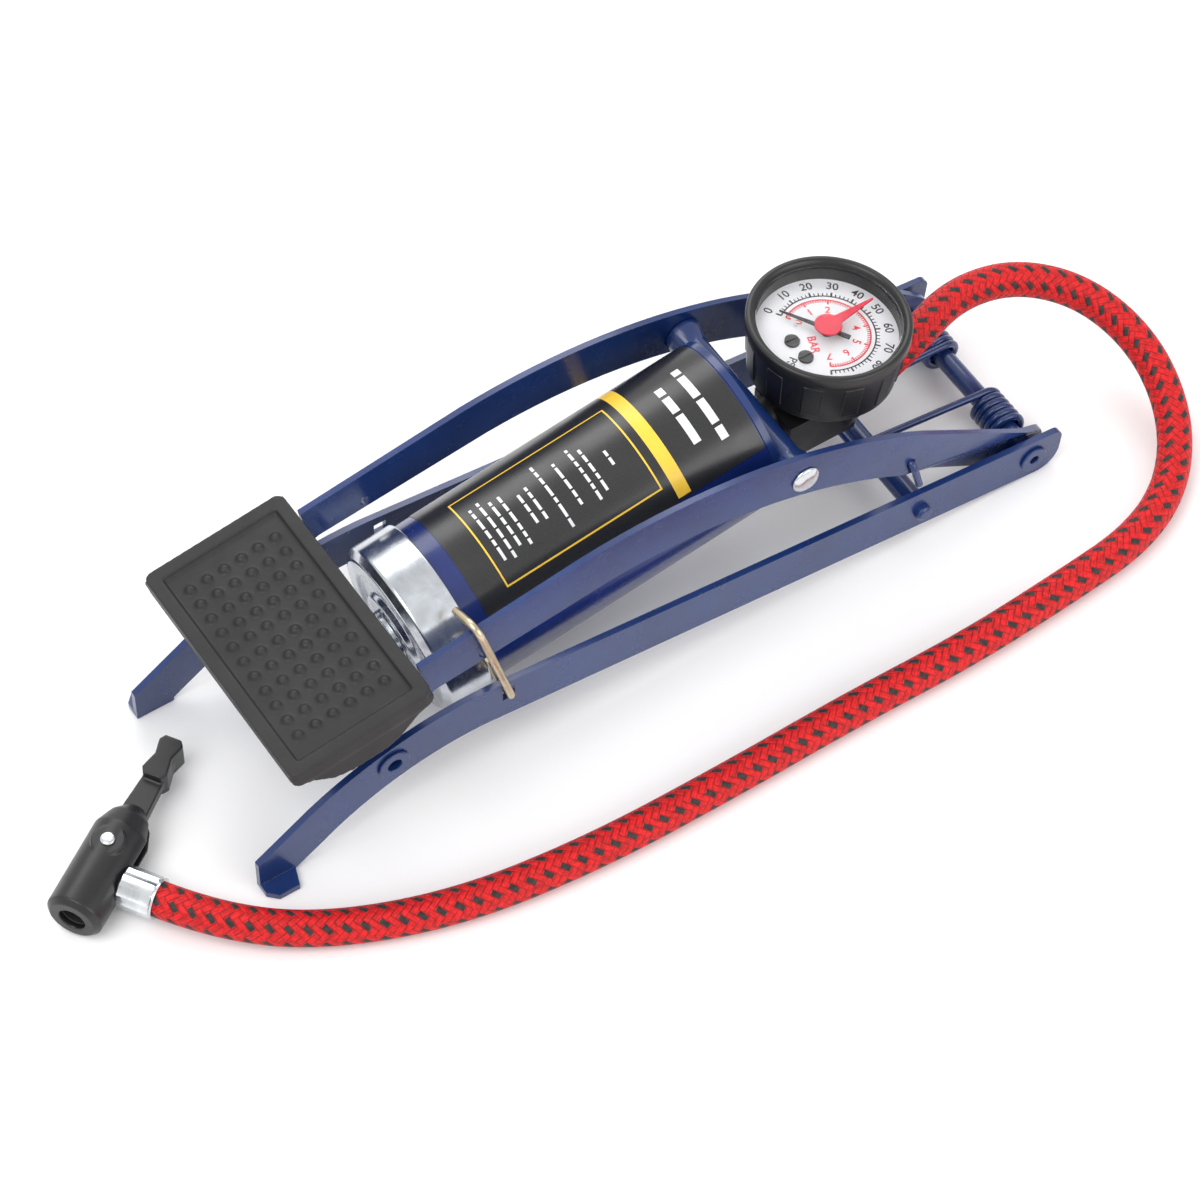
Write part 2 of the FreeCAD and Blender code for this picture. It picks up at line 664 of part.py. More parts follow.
def barrel():
    r, wall = val("barrel_dia") / 2, val("barrel_wall")
    first, last = val("barrel_from"), val("barrel_to")
    keep("barrel", turned("Barrel", (first, r - wall), (first, r), (last, r), (last, r - wall),
                          place=barrel_place()))
    film, near, far = val("label_wall"), val("label_near"), val("label_far")
    start = Placement(V(0, 0, 0), Rotation(V(1, 0, 0), 90 - far))
    keep("barrel_label", turned("BarrelLabel", (val("label_from"), r), (val("label_from"), r + film),
                                (val("label_to"), r + film), (val("label_to"), r),
                                place=barrel_place().multiply(start), sweep=near + far))


def front_cap():
    """The pressed cap over the barrel's front end, with stepped rings."""
    skin, r, at = val("barrel_dia") / 2 + val("cap_wall"), val("barrel_dia") / 2, val("cap_from")
    bush, inside = 8.0, val("barrel_from")
    keep("front_cap", turned("FrontCap", (at - 2.2, bush), (at - 2.2, 13.5), (at, 14.5), (at, 20.0),
                             (at - 1.2, 21.0), (at - 1.2, skin - 2.5), (at + 1.3, skin),
                             (val("cap_to"), skin),
                             (val("cap_to"), r), (inside, r), (inside, bush), place=barrel_place()))
    bore = val("rod_steel") / 2 + val("slide_gap")
    keep("rod_guide", turned("RodGuide", (at - 4.0, bore), (at - 4.0, bush + 1.2), (at - 2.2, bush + 1.2),
                             (at - 2.2, bush), (inside + 5, bush), (inside + 5, bore), place=barrel_place()))


def cylinder_head():
    """The end disc, the web behind it and the cross tube that the pedal arms carry."""
    r, inside, last = val("barrel_dia") / 2, val("barrel_dia") / 2 - val("barrel_wall"), val("barrel_to")
    disc = turned("HeadDisc", (last - 4.6, 0), (last - 4.6, inside), (last, inside), (last, r),
                  (last + 2.4, r), (last + 2.4, 0))
    turn = barrel_place().inverse()
    centre = turn.multVec(V(val("head_x"), 0, val("head_z")))
    reach = arm_inner() - val("side_gap")
    tube = across("HeadTube", "Sizes.tube_dia / 2", reach, centre.x, centre.z)
    web = block("HeadWeb", (last + 1, -15, centre.z - 4.4), (centre.x, 15, centre.z + 1.2))
    pieces = [disc, tube, web]
    for side in (-1, 1):
        flare = turned("HeadFlare" + str(side + 1), (reach - 7, 0), (reach - 7, val("tube_dia") / 2),
                       (reach - 2, 6.2), (reach, 6.2), (reach, 0),
                       place=Placement(centre, Rotation(V(1, 0, 0), V(0, side, 0))))
        pieces.append(flare)
    boss = cylinder("HeadBoss", "Sizes.outlet_dia / 2", 11, (last + 1, 0, -val("outlet_drop")), (1, 0, 0))
    whole = fuse("HeadWhole", *pieces, boss)
    passage = cylinder("HeadPassage", "Sizes.air_bore / 2", 30, (last - 6, 0, -val("outlet_drop")), (1, 0, 0))
    seat = cylinder("HeadSeat", "Sizes.ball_dia / 2 + 0.6", 8, (last + 6, 0, -val("outlet_drop")), (1, 0, 0))
    keep("cylinder_head", cut("CylinderHead", whole, passage, seat), barrel_place())


def ball_centre():
    """The outlet valve's ball rests on the edge of its seat."""
    ball, bore = val("ball_dia") / 2, val("air_bore") / 2
    return V(val("barrel_to") + 6 + math.sqrt(ball * ball - bore * bore) + 0.02, 0, -val("outlet_drop"))


def outlet_ball():
    ball = doc.addObject("Part::Sphere", "OutletBall")
    ball.setExpression("Radius", "Sizes.ball_dia / 2")
    keep("outlet_ball", ball, barrel_place().multiply(Placement(ball_centre(), Rotation())))


def outlet_place():
    """The pump end's ferrule: from its foot on the gauge block, X along the hose's first run."""
    turn = Rotation(V(0, 0, 1), val("outlet_turn"))
    return Placement(V(*HOSE_ROUTE[0]) - turn.multVec(V(val("ferrule_long"), 0, 0)), turn)


STEM_SHOULDER, STEM_FOOT = 26.4, 32.5


def gauge_block():
    """The block that joins the outlet, the gauge above it and the hose behind it."""
    last, drop = val("barrel_to"), val("outlet_drop")
    front = barrel_place().multVec(V(last + 12, 0, -drop)).x + 1.2
    foot, z = outlet_place(), val("block_z")
    rear = foot.Base.x - 3.0
    body = block("BlockBody", (front, -12.5, z - 8), (rear, 7.0, z + 7.5))
    neck = cylinder("BlockNeck", "Sizes.outlet_dia / 2", 11, (last + 12, 0, -drop), (1, 0, 0))
    inlet = cylinder("BlockInlet", "Sizes.ball_dia / 2 + 0.6", 10, (last + 10, 0, -drop), (1, 0, 0))
    duct = cylinder("BlockDuct", "Sizes.air_bore / 2", 32, (last + 10, 0, -drop), (1, 0, 0))
    boss = cylinder("BlockBoss", "Sizes.ferrule_dia / 2", 8, (-8, 0, 0), (1, 0, 0))
    spigot = cylinder("BlockSpigot", "Sizes.hose_dia / 2 - 2", "Sizes.ferrule_long + 1", (-1, 0, 0),
                      (1, 0, 0))
    port = cylinder("BlockPort", "Sizes.air_bore / 2 - 0.5", "Sizes.ferrule_long + 9", (-9, 0, 0), (1, 0, 0))
    for piece in (neck, inlet, duct):
        piece.Placement = barrel_place().multiply(piece.Placement)
    for piece in (boss, spigot, port):
        piece.Placement = foot.multiply(piece.Placement)
    drill = cylinder("BlockDrill", "Sizes.air_bore / 2", 11, (foot.Base.x - 8, -9.5, z), (0, 1, 0))
    shank = turned("StemHole", (-STEM_FOOT - 5, 0), (-STEM_FOOT - 5, 3.0), (-STEM_FOOT, 3.0),
                   (-STEM_FOOT, 4.5), (-STEM_SHOULDER + 1, 4.5), (-STEM_SHOULDER + 1, 0), place=gauge_place())
    whole = fuse("BlockWhole", body, neck, boss, spigot)
    keep("gauge_block", cut("GaugeBlock", whole, inlet, duct, port, drill, shank))


# --------------------------------------------------------------------- gauge

def gauge_case():
    """The tapered case, its bezel, the dark ring inside and the lens."""
    r, deep, dial = val("gauge_dia") / 2, val("gauge_tall"), val("dial_deep") + 0.8
    bore, stem = r - 3.2, 4.6
    place = gauge_place()
    keep("gauge_case", turned("GaugeCase", (-deep, stem), (-deep, r - 3), (-deep + 1.2, r - 2),
                              (-4.0, r - 0.6),
                              (-4.0, bore), (-dial, bore), (-dial, bore - 1.6), (-deep + 2.5, bore - 1.6),
                              (-deep + 2.5, stem), place=place))
    keep("gauge_bezel", turned("GaugeBezel", (-4.0, bore), (-4.0, r), (-0.8, r), (0, r - 0.8), (0, r - 3.0),
                               (-0.5, r - 3.8), (-1.6, r - 3.8), (-1.6, bore), place=place))
    keep("gauge_lens", turned("GaugeLens", (-2.8, 0), (-2.8, bore), (-1.6, bore), (-1.6, 0), place=place))
    keep("gauge_inner_ring", turned("GaugeInnerRing", (-val("dial_deep"), bore - 1.3),
                                    (-val("dial_deep"), bore),
                                    (-2.8, bore), (-2.8, bore - 0.9), place=place))


DIAL_SCREWS = ((-11.5, 2.2), (-11.5, -5.2))
STOP_PIN = (-7.0, 7.2)


def gauge_dial():
    """The dial plate, its two screws and the needle's stop pin."""
    r = val("gauge_dia") / 2 - 3.2
    place = dial_place(val("dial_deep") + 0.8)
    plate = cylinder("DialPlate", r, 0.8)
    holes = [cylinder("DialSpindle", 1.6, 2, (0, 0, -0.5)), cylinder("DialStop", 0.5, 2, (*STOP_PIN, -0.5))]
    screws = []
    for i, at in enumerate(DIAL_SCREWS):
        holes.append(cylinder("DialHole" + str(i), 1.2, 2, (*at, -0.5)))
        shank = cylinder("ScrewShank" + str(i), 1.2, 2.8, (*at, -2.0))
        head = cylinder("ScrewHead" + str(i), 2.4, 0.9, (*at, 0.8))
        slot = block("ScrewSlot" + str(i), (at[0] - 2.6, at[1] - 0.3, 1.25), (at[0] + 2.6, at[1] + 0.3, 2.0))
        screws.append(cut("DialScrew" + str(i), fuse("ScrewWhole" + str(i), shank, head), slot))
    keep("gauge_dial", cut("GaugeDial", plate, *holes), place)
    keep("dial_screws", group("DialScrews", *screws), place)
    keep("needle_stop", cylinder("NeedleStop", 0.5, 3.6, (*STOP_PIN, -0.6)))
    PARTS["needle_stop"].Placement = place.multiply(PARTS["needle_stop"].Placement)


def pointer_shape(name, hub, tip, tail, wide, narrow, height, angle, lift=0.0):
    """A flat pointer about Z: a round hub, a tapered arm and a tail."""
    reach = max(hub - 0.6, 0.2)
    blade = flat_body(name + "Blade", outline((reach, -wide / 2), (tip, -narrow / 2), (tip, narrow / 2),
                                              (reach, wide / 2), (-tail, wide / 2),
                                              (-tail, -wide / 2)), height)
    disc = cylinder(name + "Disc", hub, height)
    whole = fuse(name, blade, disc)
    whole.Placement = Placement(V(0, 0, lift), Rotation(V(0, 0, 1), angle))
    return whole


ZERO_ANGLE = 123.0


def gauge_pointers():
    """The black needle on the spindle, at zero, and the red marker under the lens."""
    dial = val("dial_deep")
    needle = pointer_shape("NeedleBlade", 2.2, 16.0, 7.5, 1.7, 0.5, "0.5 mm", ZERO_ANGLE, 1.7)
    spindle = cylinder("NeedleSpindle", 0.8, 8.2, (0, 0, -6.0))
    keep("gauge_needle", fuse("GaugeNeedle", needle, spindle), dial_place(dial))
    marker = pointer_shape("MarkerBlade", 4.3, 18.5, 3.0, 3.4, 0.5, "0.7 mm", 7.0)
    keep("set_marker", marker, dial_place(dial - 3.4).multiply(marker.Placement))


def gauge_movement():
    """A bridge under the dial with the spindle's bearing, and the curved pressure tube."""
    deep, dial = val("gauge_tall") - 2.5, val("dial_deep") + 0.8
    place = dial_place(deep)
    foot = block("MovementFoot", (-8, -5, 2.0), (8, 5, 4.0))
    pillars = [cylinder("Pillar" + str(i), 1.5, 4.2, (x, 0, 4.0)) for i, x in enumerate((-6.5, 6.5))]
    top = block("MovementTop", (-8, -4, 8.2), (8, 4, 9.2))
    bearing = [cylinder("Bearing" + str(i), "0.8 + Sizes.run_gap", 3, (0, 0, z))
               for i, z in enumerate((1.5, 7.5))]
    under = [cylinder("ScrewBoss" + str(i), 2.6, deep - dial - 2.0, (*at, 2.0))
             for i, at in enumerate(DIAL_SCREWS)]
    plate = block("MovementWing", (-14.2, -8, 2.0), (-6, 5, 3.5))
    taps = [cylinder("ScrewTap" + str(i), 1.2, 3, (*at, deep - dial - 2.0))
            for i, at in enumerate(DIAL_SCREWS)]
    keep("gauge_movement", cut("GaugeMovement", fuse("MovementWhole", foot, top, plate, *pillars, *under),
                               *bearing, *taps), place)
    ring = doc.addObject("Part::Torus", "PressureTube")
    ring.Radius1 = 16.5
    ring.Radius2 = 1.7
    ring.Angle3 = 250
    keep("pressure_tube", ring, place.multiply(Placement(V(0, 0, 5.0), Rotation(V(0, 0, 1), 60))))


def gauge_stem():
    """The threaded stem between the gauge and its block."""
    deep = val("gauge_tall")
    keep("gauge_stem", turned("GaugeStem", (-STEM_FOOT, 1.5), (-STEM_FOOT, 4.5), (-STEM_SHOULDER, 4.5),
                              (-STEM_SHOULDER, 6.6), (-deep, 6.6), (-deep, 4.6), (-deep + 4.5, 4.6),
                              (-deep + 4.5, 1.5), place=gauge_place()))


# ---------------------------------------------------------------------- hose

def ferrule(name, ribs):
    """A crimped sleeve along X from the origin, filled by the end of the hose."""
    r, long, bore = val("ferrule_dia") / 2, val("ferrule_long"), val("hose_dia") / 2 - 2
    outer = [(0, bore), (0, r - 0.6), (0.6, r)]
    for i in range(ribs):
        at = 1.6 + i * (long - 3.2) / ribs
        step = (long - 3.2) / ribs
        outer += [(at, r), (at + step * 0.25, r - 0.35), (at + step * 0.75, r - 0.35), (at + step, r)]
    outer += [(long - 0.6, r), (long, r - 0.6), (long, bore)]
    return turned(name, *outer)


def pump_ferrule():
    keep("pump_ferrule", ferrule("PumpFerrule", 3), outlet_place())


def pulled_back(end, ahead, gap):
    """The point gap millimetres from end towards ahead."""
    run = V(*ahead) - V(*end)
    return tuple(V(*end) + run * (gap / run.Length))


def hose_tube():
    gap = val("hose_gap")
    points = [pulled_back(HOSE_ROUTE[0], HOSE_ROUTE[1], gap), *HOSE_ROUTE[1:-1],
              pulled_back(HOSE_ROUTE[-1], HOSE_ROUTE[-2], gap)]
    radii = []
    for before, corner, after in zip(points, points[1:], points[2:]):
        back, ahead = V(*corner) - V(*before), V(*after) - V(*corner)
        radii.append(0.45 * min(back.Length, ahead.Length) / math.tan(back.getAngle(ahead) / 2))
    path = rounded_path(points, radii)
    radius = val("hose_dia") / 2
    solid = round_wire(path, radius)
    print("hose radii", [round(r) for r in radii], "length", round(path.Length, 1))
    print("hose volume / section x length", round(solid.Volume / (math.pi * radius ** 2 * path.Length), 4))
    print("hose low point", round(solid.optimalBoundingBox(False, False).ZMin, 2))
    keep("hose_tube", shape_part("HoseTube", solid))


# --------------------------------------------------------------------- chuck

def chuck():
    """The clip-on chuck that lies on the floor at the end of the hose."""
    place = chuck_place()
    r, long, bore, pin = val("chuck_dia") / 2, val("chuck_long"), val("chuck_bore") / 2, val("chuck_pin_at")
    seal_r, seal_long = bore + 1.6, 5.0
    shell = turned("ChuckShell", (0, bore), (0, r - 1.6), (1.6, r), (long - 10, r), (long - 4, r - 2.2),
                   (long, r - 5.5), (long, 0), (18, 0), (18, bore), (2.0 + seal_long, bore),
                   (2.0 + seal_long, seal_r), (2.0, seal_r), (2.0, bore))
    flats = [cylinder("PinBoss" + str(i), 5.2, 2.0, (pin, 0, z)) for i, z in enumerate((r - 2.2, -r + 0.2))]
    inlet = val("chuck_dia") / 2 - 1.0
    slot_half = val("lever_thick") / 2 + val("side_gap")
    slot = block("LeverSlot", (pin - 6.8, -r - 1, -slot_half), (long + 1, r + 1, slot_half))
    pin_hole = cylinder("PinHole", "Sizes.chuck_pin_dia / 2", val("chuck_dia") + 2, (pin, 0, -r - 1))
    side = cylinder("InletHole", 3.5, 4.0, (CHUCK_INLET, -inlet - 1, 0), (0, 1, 0))
    air = cylinder("InletAir", "Sizes.air_bore / 2 - 0.5", r, (CHUCK_INLET, -r, 0), (0, 1, 0))
    whole = fuse("ChuckWhole", shell, *flats)
    keep("chuck_body", cut("ChuckBody", whole, slot, pin_hole, side, air), place)
    keep("chuck_seal", turned("ChuckSeal", (2.0, bore), (2.0, seal_r), (2.0 + seal_long, seal_r),
                              (2.0 + seal_long, bore), place=place))
    head = turned("ChuckPin", (-r + 0.1, 0), (-r + 0.1, 1.5), (r + 0.02, 1.5), (r + 0.02, 2.3),
                  (r + 0.45, 2.3), (r + 0.9, 1.4), (r + 0.9, 0))
    keep("chuck_pin", head, place.multiply(Placement(V(pin, 0, 0), Rotation(V(0, 1, 0), -90))))
    nipple = turned("ChuckNipple", (inlet - 3.0, 1.5), (inlet - 3.0, 3.5), (inlet + 1.1, 3.5),
                    (inlet + 1.1, 4.2),
                    (NIPPLE_REACH, 4.2), (NIPPLE_REACH, val("hose_dia") / 2 - 2),
                    (NIPPLE_REACH + val("ferrule_long"), val("hose_dia") / 2 - 2),
                    (NIPPLE_REACH + val("ferrule_long"), 1.5))
    out = Placement(V(CHUCK_INLET, 0, 0), Rotation(V(0, 0, 1), -90))
    keep("chuck_nipple", nipple, place.multiply(out))
    sleeve = place.multiply(out).multiply(Placement(V(NIPPLE_REACH, 0, 0), Rotation()))
    keep("chuck_ferrule", ferrule("ChuckFerrule", 3), sleeve)


def chuck_lever():
    """The thumb lever: a tapered blade in the slot, with a taller waisted grip at its end."""
    place = chuck_place()
    pin, long, thick = val("chuck_pin_at"), val("lever_long"), val("lever_thick")
    root, tip = 5.2, 3.0
    blade = flat_body("LeverBlade", outline(((0.0, 0.0), root, math.pi / 2, 3 * math.pi / 2),
                                            (long - 6, -tip), (long - 6, tip)), "Sizes.lever_thick",
                      Placement(V(0, 0, -thick / 2), Rotation()))
    grip = outline((long - 15.0, -3.0), (long - 13.0, -4.2), (long - 7.0, -2.8), (long - 2.0, -4.0),
                   (long, -2.6), (long, 2.6), (long - 2.0, 4.0), (long - 7.0, 2.8), (long - 13.0, 4.2),
                   (long - 15.0, 3.0))
    thumb = flat_body("LeverGrip", grip, "9 mm", Placement(V(0, 0, -4.5), Rotation()))
    hole = cylinder("LeverHole", "Sizes.chuck_pin_dia / 2 + Sizes.run_gap", 10, (0, 0, -5))
    keep("chuck_lever", cut("ChuckLever", fuse("LeverWhole", blade, thumb), hole),
         place.multiply(Placement(V(pin, 0, 0), Rotation())))


# --------------------------------------------------------------------- latch

def wire_latch():
    """The bent wire that hooks over the pedal arm, swinging in the rail's slot."""
    x, z, wire = val("slot_x"), val("slot_z"), val("latch_wire") / 2
    outside, inside = -rail_outer() - wire - val("latch_gap"), -rail_inner() + wire + 2.35
    points = [(x - 9.4, -24.0, 66.4), (x - 9.4, -36.0, 71.2), (x, outside, z), (x, inside, z),
              (x - 3.2, inside, z + 13.5)]
    path = rounded_path(points, [4.0, 2.2, 2.2])
    keep("wire_latch", shape_part("WireLatch", round_wire(path, wire)))


# ---------------------------------------------------------------------- build

def build():
    fill_sheet()
    for side, name in ((-1, "near"), (1, "far")):
        base_rail("base_rail_" + name, side)
        pedal_arm("pedal_arm_" + name, side)
    hollow_pin("front_pin", "front_pin_dia", 5.4, 2.4, 6.0, 1.0, val("pin_x"), val("pin_z"))
    hollow_pin("rear_shaft", "shaft_dia", 4.7, 1.6, 3.0, 1.0, *pivot())
    front_spacers()
    lower_cross_rod()
    torsion_spring()
    head_rivets()
    pedal_plate()
    pedal_pad()
    piston_rod()
    piston_stack()
    barrel()
    front_cap()
    cylinder_head()
    outlet_ball()
    gauge_block()
    gauge_stem()
    gauge_case()
    gauge_dial()
    gauge_pointers()
    gauge_movement()
    pump_ferrule()
    hose_tube()
    chuck()
    chuck_lever()
    wire_latch()
    doc.recompute()


def export():
    """Stop on any bad shape, then write one STEP file for each sub-part."""
    for obj in doc.Objects:
        if "Invalid" in obj.State or "Error" in obj.State:
            raise RuntimeError(obj.Label + " did not recompute")
    os.makedirs("parts", exist_ok=True)
    for node, obj in PARTS.items():
        if obj.Shape.isNull() or not obj.Shape.isValid():
            raise RuntimeError(node + " has a bad shape")
        if obj.Shape.Volume < 0.5:
            raise RuntimeError(node + " has no volume")
        obj.Shape.exportStep(os.path.join("parts", node + ".step"))
        box = obj.Shape.optimalBoundingBox(False, False)
        print(f"{node:18s} {len(obj.Shape.Solids):3d} solids {obj.Shape.Volume:10.1f} mm3",
              [round(v, 1) for v in (box.XMin, box.XMax, box.YMin, box.YMax, box.ZMin, box.ZMax)])


build()
export()
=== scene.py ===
"""Foot air pump: the folded steel frame, the barrel and its label, the gauge, the braided hose and the chuck.

Every piece is made where the frame has it, in metres. X runs from the pedal to the rear pivot,
Y away from the latch, Z up.
"""
import json
import math
import random

import bmesh
import bpy
from mathutils import Matrix, Vector

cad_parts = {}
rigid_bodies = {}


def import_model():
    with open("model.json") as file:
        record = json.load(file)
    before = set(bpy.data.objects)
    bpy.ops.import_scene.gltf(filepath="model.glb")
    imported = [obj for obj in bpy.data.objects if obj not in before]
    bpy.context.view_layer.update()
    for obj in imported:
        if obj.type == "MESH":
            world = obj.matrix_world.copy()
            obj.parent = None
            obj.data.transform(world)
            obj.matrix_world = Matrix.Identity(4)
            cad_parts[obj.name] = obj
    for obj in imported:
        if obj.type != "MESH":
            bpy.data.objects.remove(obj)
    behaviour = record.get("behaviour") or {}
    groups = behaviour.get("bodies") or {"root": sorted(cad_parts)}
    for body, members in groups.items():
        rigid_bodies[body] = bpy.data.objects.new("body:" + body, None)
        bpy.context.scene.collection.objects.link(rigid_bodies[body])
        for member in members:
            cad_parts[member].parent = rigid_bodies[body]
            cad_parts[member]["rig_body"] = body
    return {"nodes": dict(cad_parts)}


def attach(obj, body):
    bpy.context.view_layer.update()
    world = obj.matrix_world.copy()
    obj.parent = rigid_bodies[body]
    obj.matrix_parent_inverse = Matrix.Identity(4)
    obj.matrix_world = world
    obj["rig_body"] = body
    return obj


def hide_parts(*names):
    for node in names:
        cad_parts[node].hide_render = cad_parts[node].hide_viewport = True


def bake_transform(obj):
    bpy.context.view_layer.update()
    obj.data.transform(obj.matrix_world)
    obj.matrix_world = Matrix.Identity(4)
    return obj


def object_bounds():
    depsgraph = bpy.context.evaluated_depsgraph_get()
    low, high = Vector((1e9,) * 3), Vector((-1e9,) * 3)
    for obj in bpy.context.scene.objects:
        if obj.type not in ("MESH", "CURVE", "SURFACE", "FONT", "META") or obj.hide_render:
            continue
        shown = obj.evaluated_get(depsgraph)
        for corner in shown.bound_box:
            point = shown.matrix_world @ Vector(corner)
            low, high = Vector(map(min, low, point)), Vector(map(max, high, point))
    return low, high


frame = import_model()
CAD_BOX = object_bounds()

bl_info = {
    "name": "Foot air pump",
    "version": (1, 0, 0),
    "blender": (4, 5, 0),
    "location": "View3D > Sidebar > Foot pump",
    "description": "Builds a foot air pump with its gauge, hose and chuck",
    "category": "Object",
}

MM = 0.001

# The hose's route, the control points of its centre line, in metres.
HOSE_ROUTE = [
    (0.0970, -0.0040, 0.0425), (0.1144, 0.0006, 0.0425), (0.1370, 0.0094, 0.0412), (0.1606, 0.0080, 0.0364),
    (0.1796, -0.0046, 0.0282), (0.1882, -0.0256, 0.0184), (0.1844, -0.0484, 0.0098), (0.1698, -0.0678, 0.0058),
    (0.1473, -0.0794, 0.0056), (0.1151, -0.0824, 0.0056), (0.0780, -0.0848, 0.0056), (0.0340, -0.0840, 0.0056),
    (-0.0120, -0.0849, 0.0056), (-0.0600, -0.0843, 0.0056), (-0.1040, -0.0785, 0.0056),
    (-0.1420, -0.0635, 0.0056), (-0.1665, -0.0455, 0.0090), (-0.1768, -0.0297, 0.0090),
]


def size_prop(name, description, default, low=0.0, high=1.0):
    return bpy.props.FloatProperty(
        name=name, description=description, default=default, min=low, max=high, subtype="DISTANCE", unit="LENGTH")


def colour_prop(name, description, default):
    return bpy.props.FloatVectorProperty(
        name=name, description=description, default=default, size=3, min=0.0, max=1.0, subtype="COLOR")


class PUMP_PG_sizes(bpy.types.PropertyGroup):
    """Sizes of the pieces that this script models."""
    hose_width: size_prop("Hose", "Outside diameter of the braided hose", 0.0112)
    edge: size_prop("Sheet edge", "Rounding of cut sheet edges", 0.00035)
    barrel_radius: size_prop("Barrel radius", "Outside radius of the barrel", 0.0275)


class PUMP_PG_colours(bpy.types.PropertyGroup):
    """Colours of the finishes."""
    frame_blue: colour_prop("Frame blue", "Gloss paint of the sheet frame", (0.008, 0.028, 0.125))
    barrel_blue: colour_prop("Barrel blue", "Gloss paint of the barrel", (0.006, 0.018, 0.115))
    braid_red: colour_prop("Braid red", "Main yarn of the hose", (0.58, 0.004, 0.007))
    braid_dark: colour_prop("Braid tracer", "Dark yarn of the hose", (0.022, 0.021, 0.020))
    band_yellow: colour_prop("Label yellow", "Band and frame lines on the label", (0.88, 0.56, 0.055))
    marker_red: colour_prop("Marker red", "Moulded marker of the gauge", (0.60, 0.0, 0.03))


def sizes():
    return bpy.context.scene.pump_sizes


def colours():
    return bpy.context.scene.pump_colours


# ------------------------------------------------------------------ node trees

class Recipe:
    """A material being written: each call adds one shader node and returns its first output."""

    def __init__(self, name):
        self.material = bpy.data.materials.new(name)
        self.material.use_nodes = True
        self.tree = self.material.node_tree
        self.shader = self.tree.nodes["Principled BSDF"]
        self.place = self.add("ShaderNodeTexCoord", out="Object")

    def add(self, kind, inputs=None, out=0, **settings):
        node = self.tree.nodes.new(kind)
        for key, value in settings.items():
            setattr(node, key, value)
        for key, value in (inputs or {}).items():
            self.feed(node.inputs[key], value)
        return node.outputs[out]

    def feed(self, socket, value):
        if isinstance(value, bpy.types.NodeSocket):
            self.tree.links.new(value, socket)
        elif isinstance(value, (tuple, list)) and len(value) == 3 and socket.type == "RGBA":
            socket.default_value = (*value, 1.0)
        else:
            socket.default_value = value

    def look(self, **values):
        names = {"colour": "Base Color", "metal": "Metallic", "rough": "Roughness", "normal": "Normal",
                 "coat": "Coat Weight", "coat_rough": "Coat Roughness", "see": "Transmission Weight",
                 "ior": "IOR", "gloss": "Specular IOR Level", "sheen": "Sheen Weight", "alpha": "Alpha"}
        for key, value in values.items():
            self.feed(self.shader.inputs[names[key]], value)
        return self.material

    def noise(self, scale, detail=3.0, rough=0.55, stretch=None, distort=0.0):
        where = self.place
        if stretch:
            where = self.add("ShaderNodeMapping", {"Vector": where, "Scale": stretch})
        return self.add("ShaderNodeTexNoise", {"Vector": where, "Scale": scale, "Detail": detail,
                                               "Roughness": rough, "Distortion": distort})

    def remap(self, value, low, high, to_low=0.0, to_high=1.0):
        return self.add("ShaderNodeMapRange", {"Value": value, "From Min": low, "From Max": high,
                                               "To Min": to_low, "To Max": to_high})

    def mix(self, factor, first, second, blend="MIX"):
        node = self.tree.nodes.new("ShaderNodeMix")
        node.data_type = "RGBA"
        node.blend_type = blend
        self.feed(node.inputs[0], factor)
        self.feed(node.inputs[6], first)
        self.feed(node.inputs[7], second)
        return node.outputs[2]

    def math(self, operation, *values):
        node = self.tree.nodes.new("ShaderNodeMath")
        node.operation = operation
        for socket, value in zip(node.inputs, values):
            self.feed(socket, value)
        return node.outputs[0]

    def mix_value(self, factor, first, second):
        node = self.tree.nodes.new("ShaderNodeMix")
        self.feed(node.inputs[0], factor)
        self.feed(node.inputs[2], first)
        self.feed(node.inputs[3], second)
        return node.outputs[0]

    def bump(self, height, depth, strength=1.0, under=None):
        inputs = {"Height": height, "Distance": depth, "Strength": strength}
        if under is not None:
            inputs["Normal"] = under
        return self.add("ShaderNodeBump", inputs)


def shade(colour, factor):
    return tuple(min(1.0, channel * factor) for channel in colour)


MATERIALS = {}


def finish_of(name):
    """The finish called name, written the first time it is asked for."""
    if name not in MATERIALS:
        MATERIALS[name] = FINISHES[name]()
    return MATERIALS[name]


def gloss_paint(name, colour, scuffs=0.5):
    """Sprayed enamel on pressed steel: orange peel, dust nibs, fine scuffs and a little drift in tone."""
    r = Recipe(name)
    drift = r.remap(r.noise(38.0, 2.0), 0.35, 0.65)
    tone = r.mix(drift, shade(colour, 0.86), shade(colour, 1.16))
    rub = r.remap(r.noise(230.0, 6.0, 0.7, distort=0.6), 0.70, 0.80, 0.0, scuffs)
    tone = r.mix(rub, tone, shade(colour, 1.8))
    nib = r.remap(r.noise(1700.0, 1.0), 0.74, 0.80)
    peel = r.bump(r.noise(420.0, 2.0, 0.4), 0.00005, 0.22)
    relief = r.bump(nib, 0.00010, 0.5, peel)
    rough = r.math("ADD", r.remap(r.noise(120.0, 3.0), 0.3, 0.7, 0.20, 0.29), r.math("MULTIPLY", rub, 0.3))
    return r.look(colour=tone, rough=rough, normal=relief, coat=0.25, coat_rough=0.12)


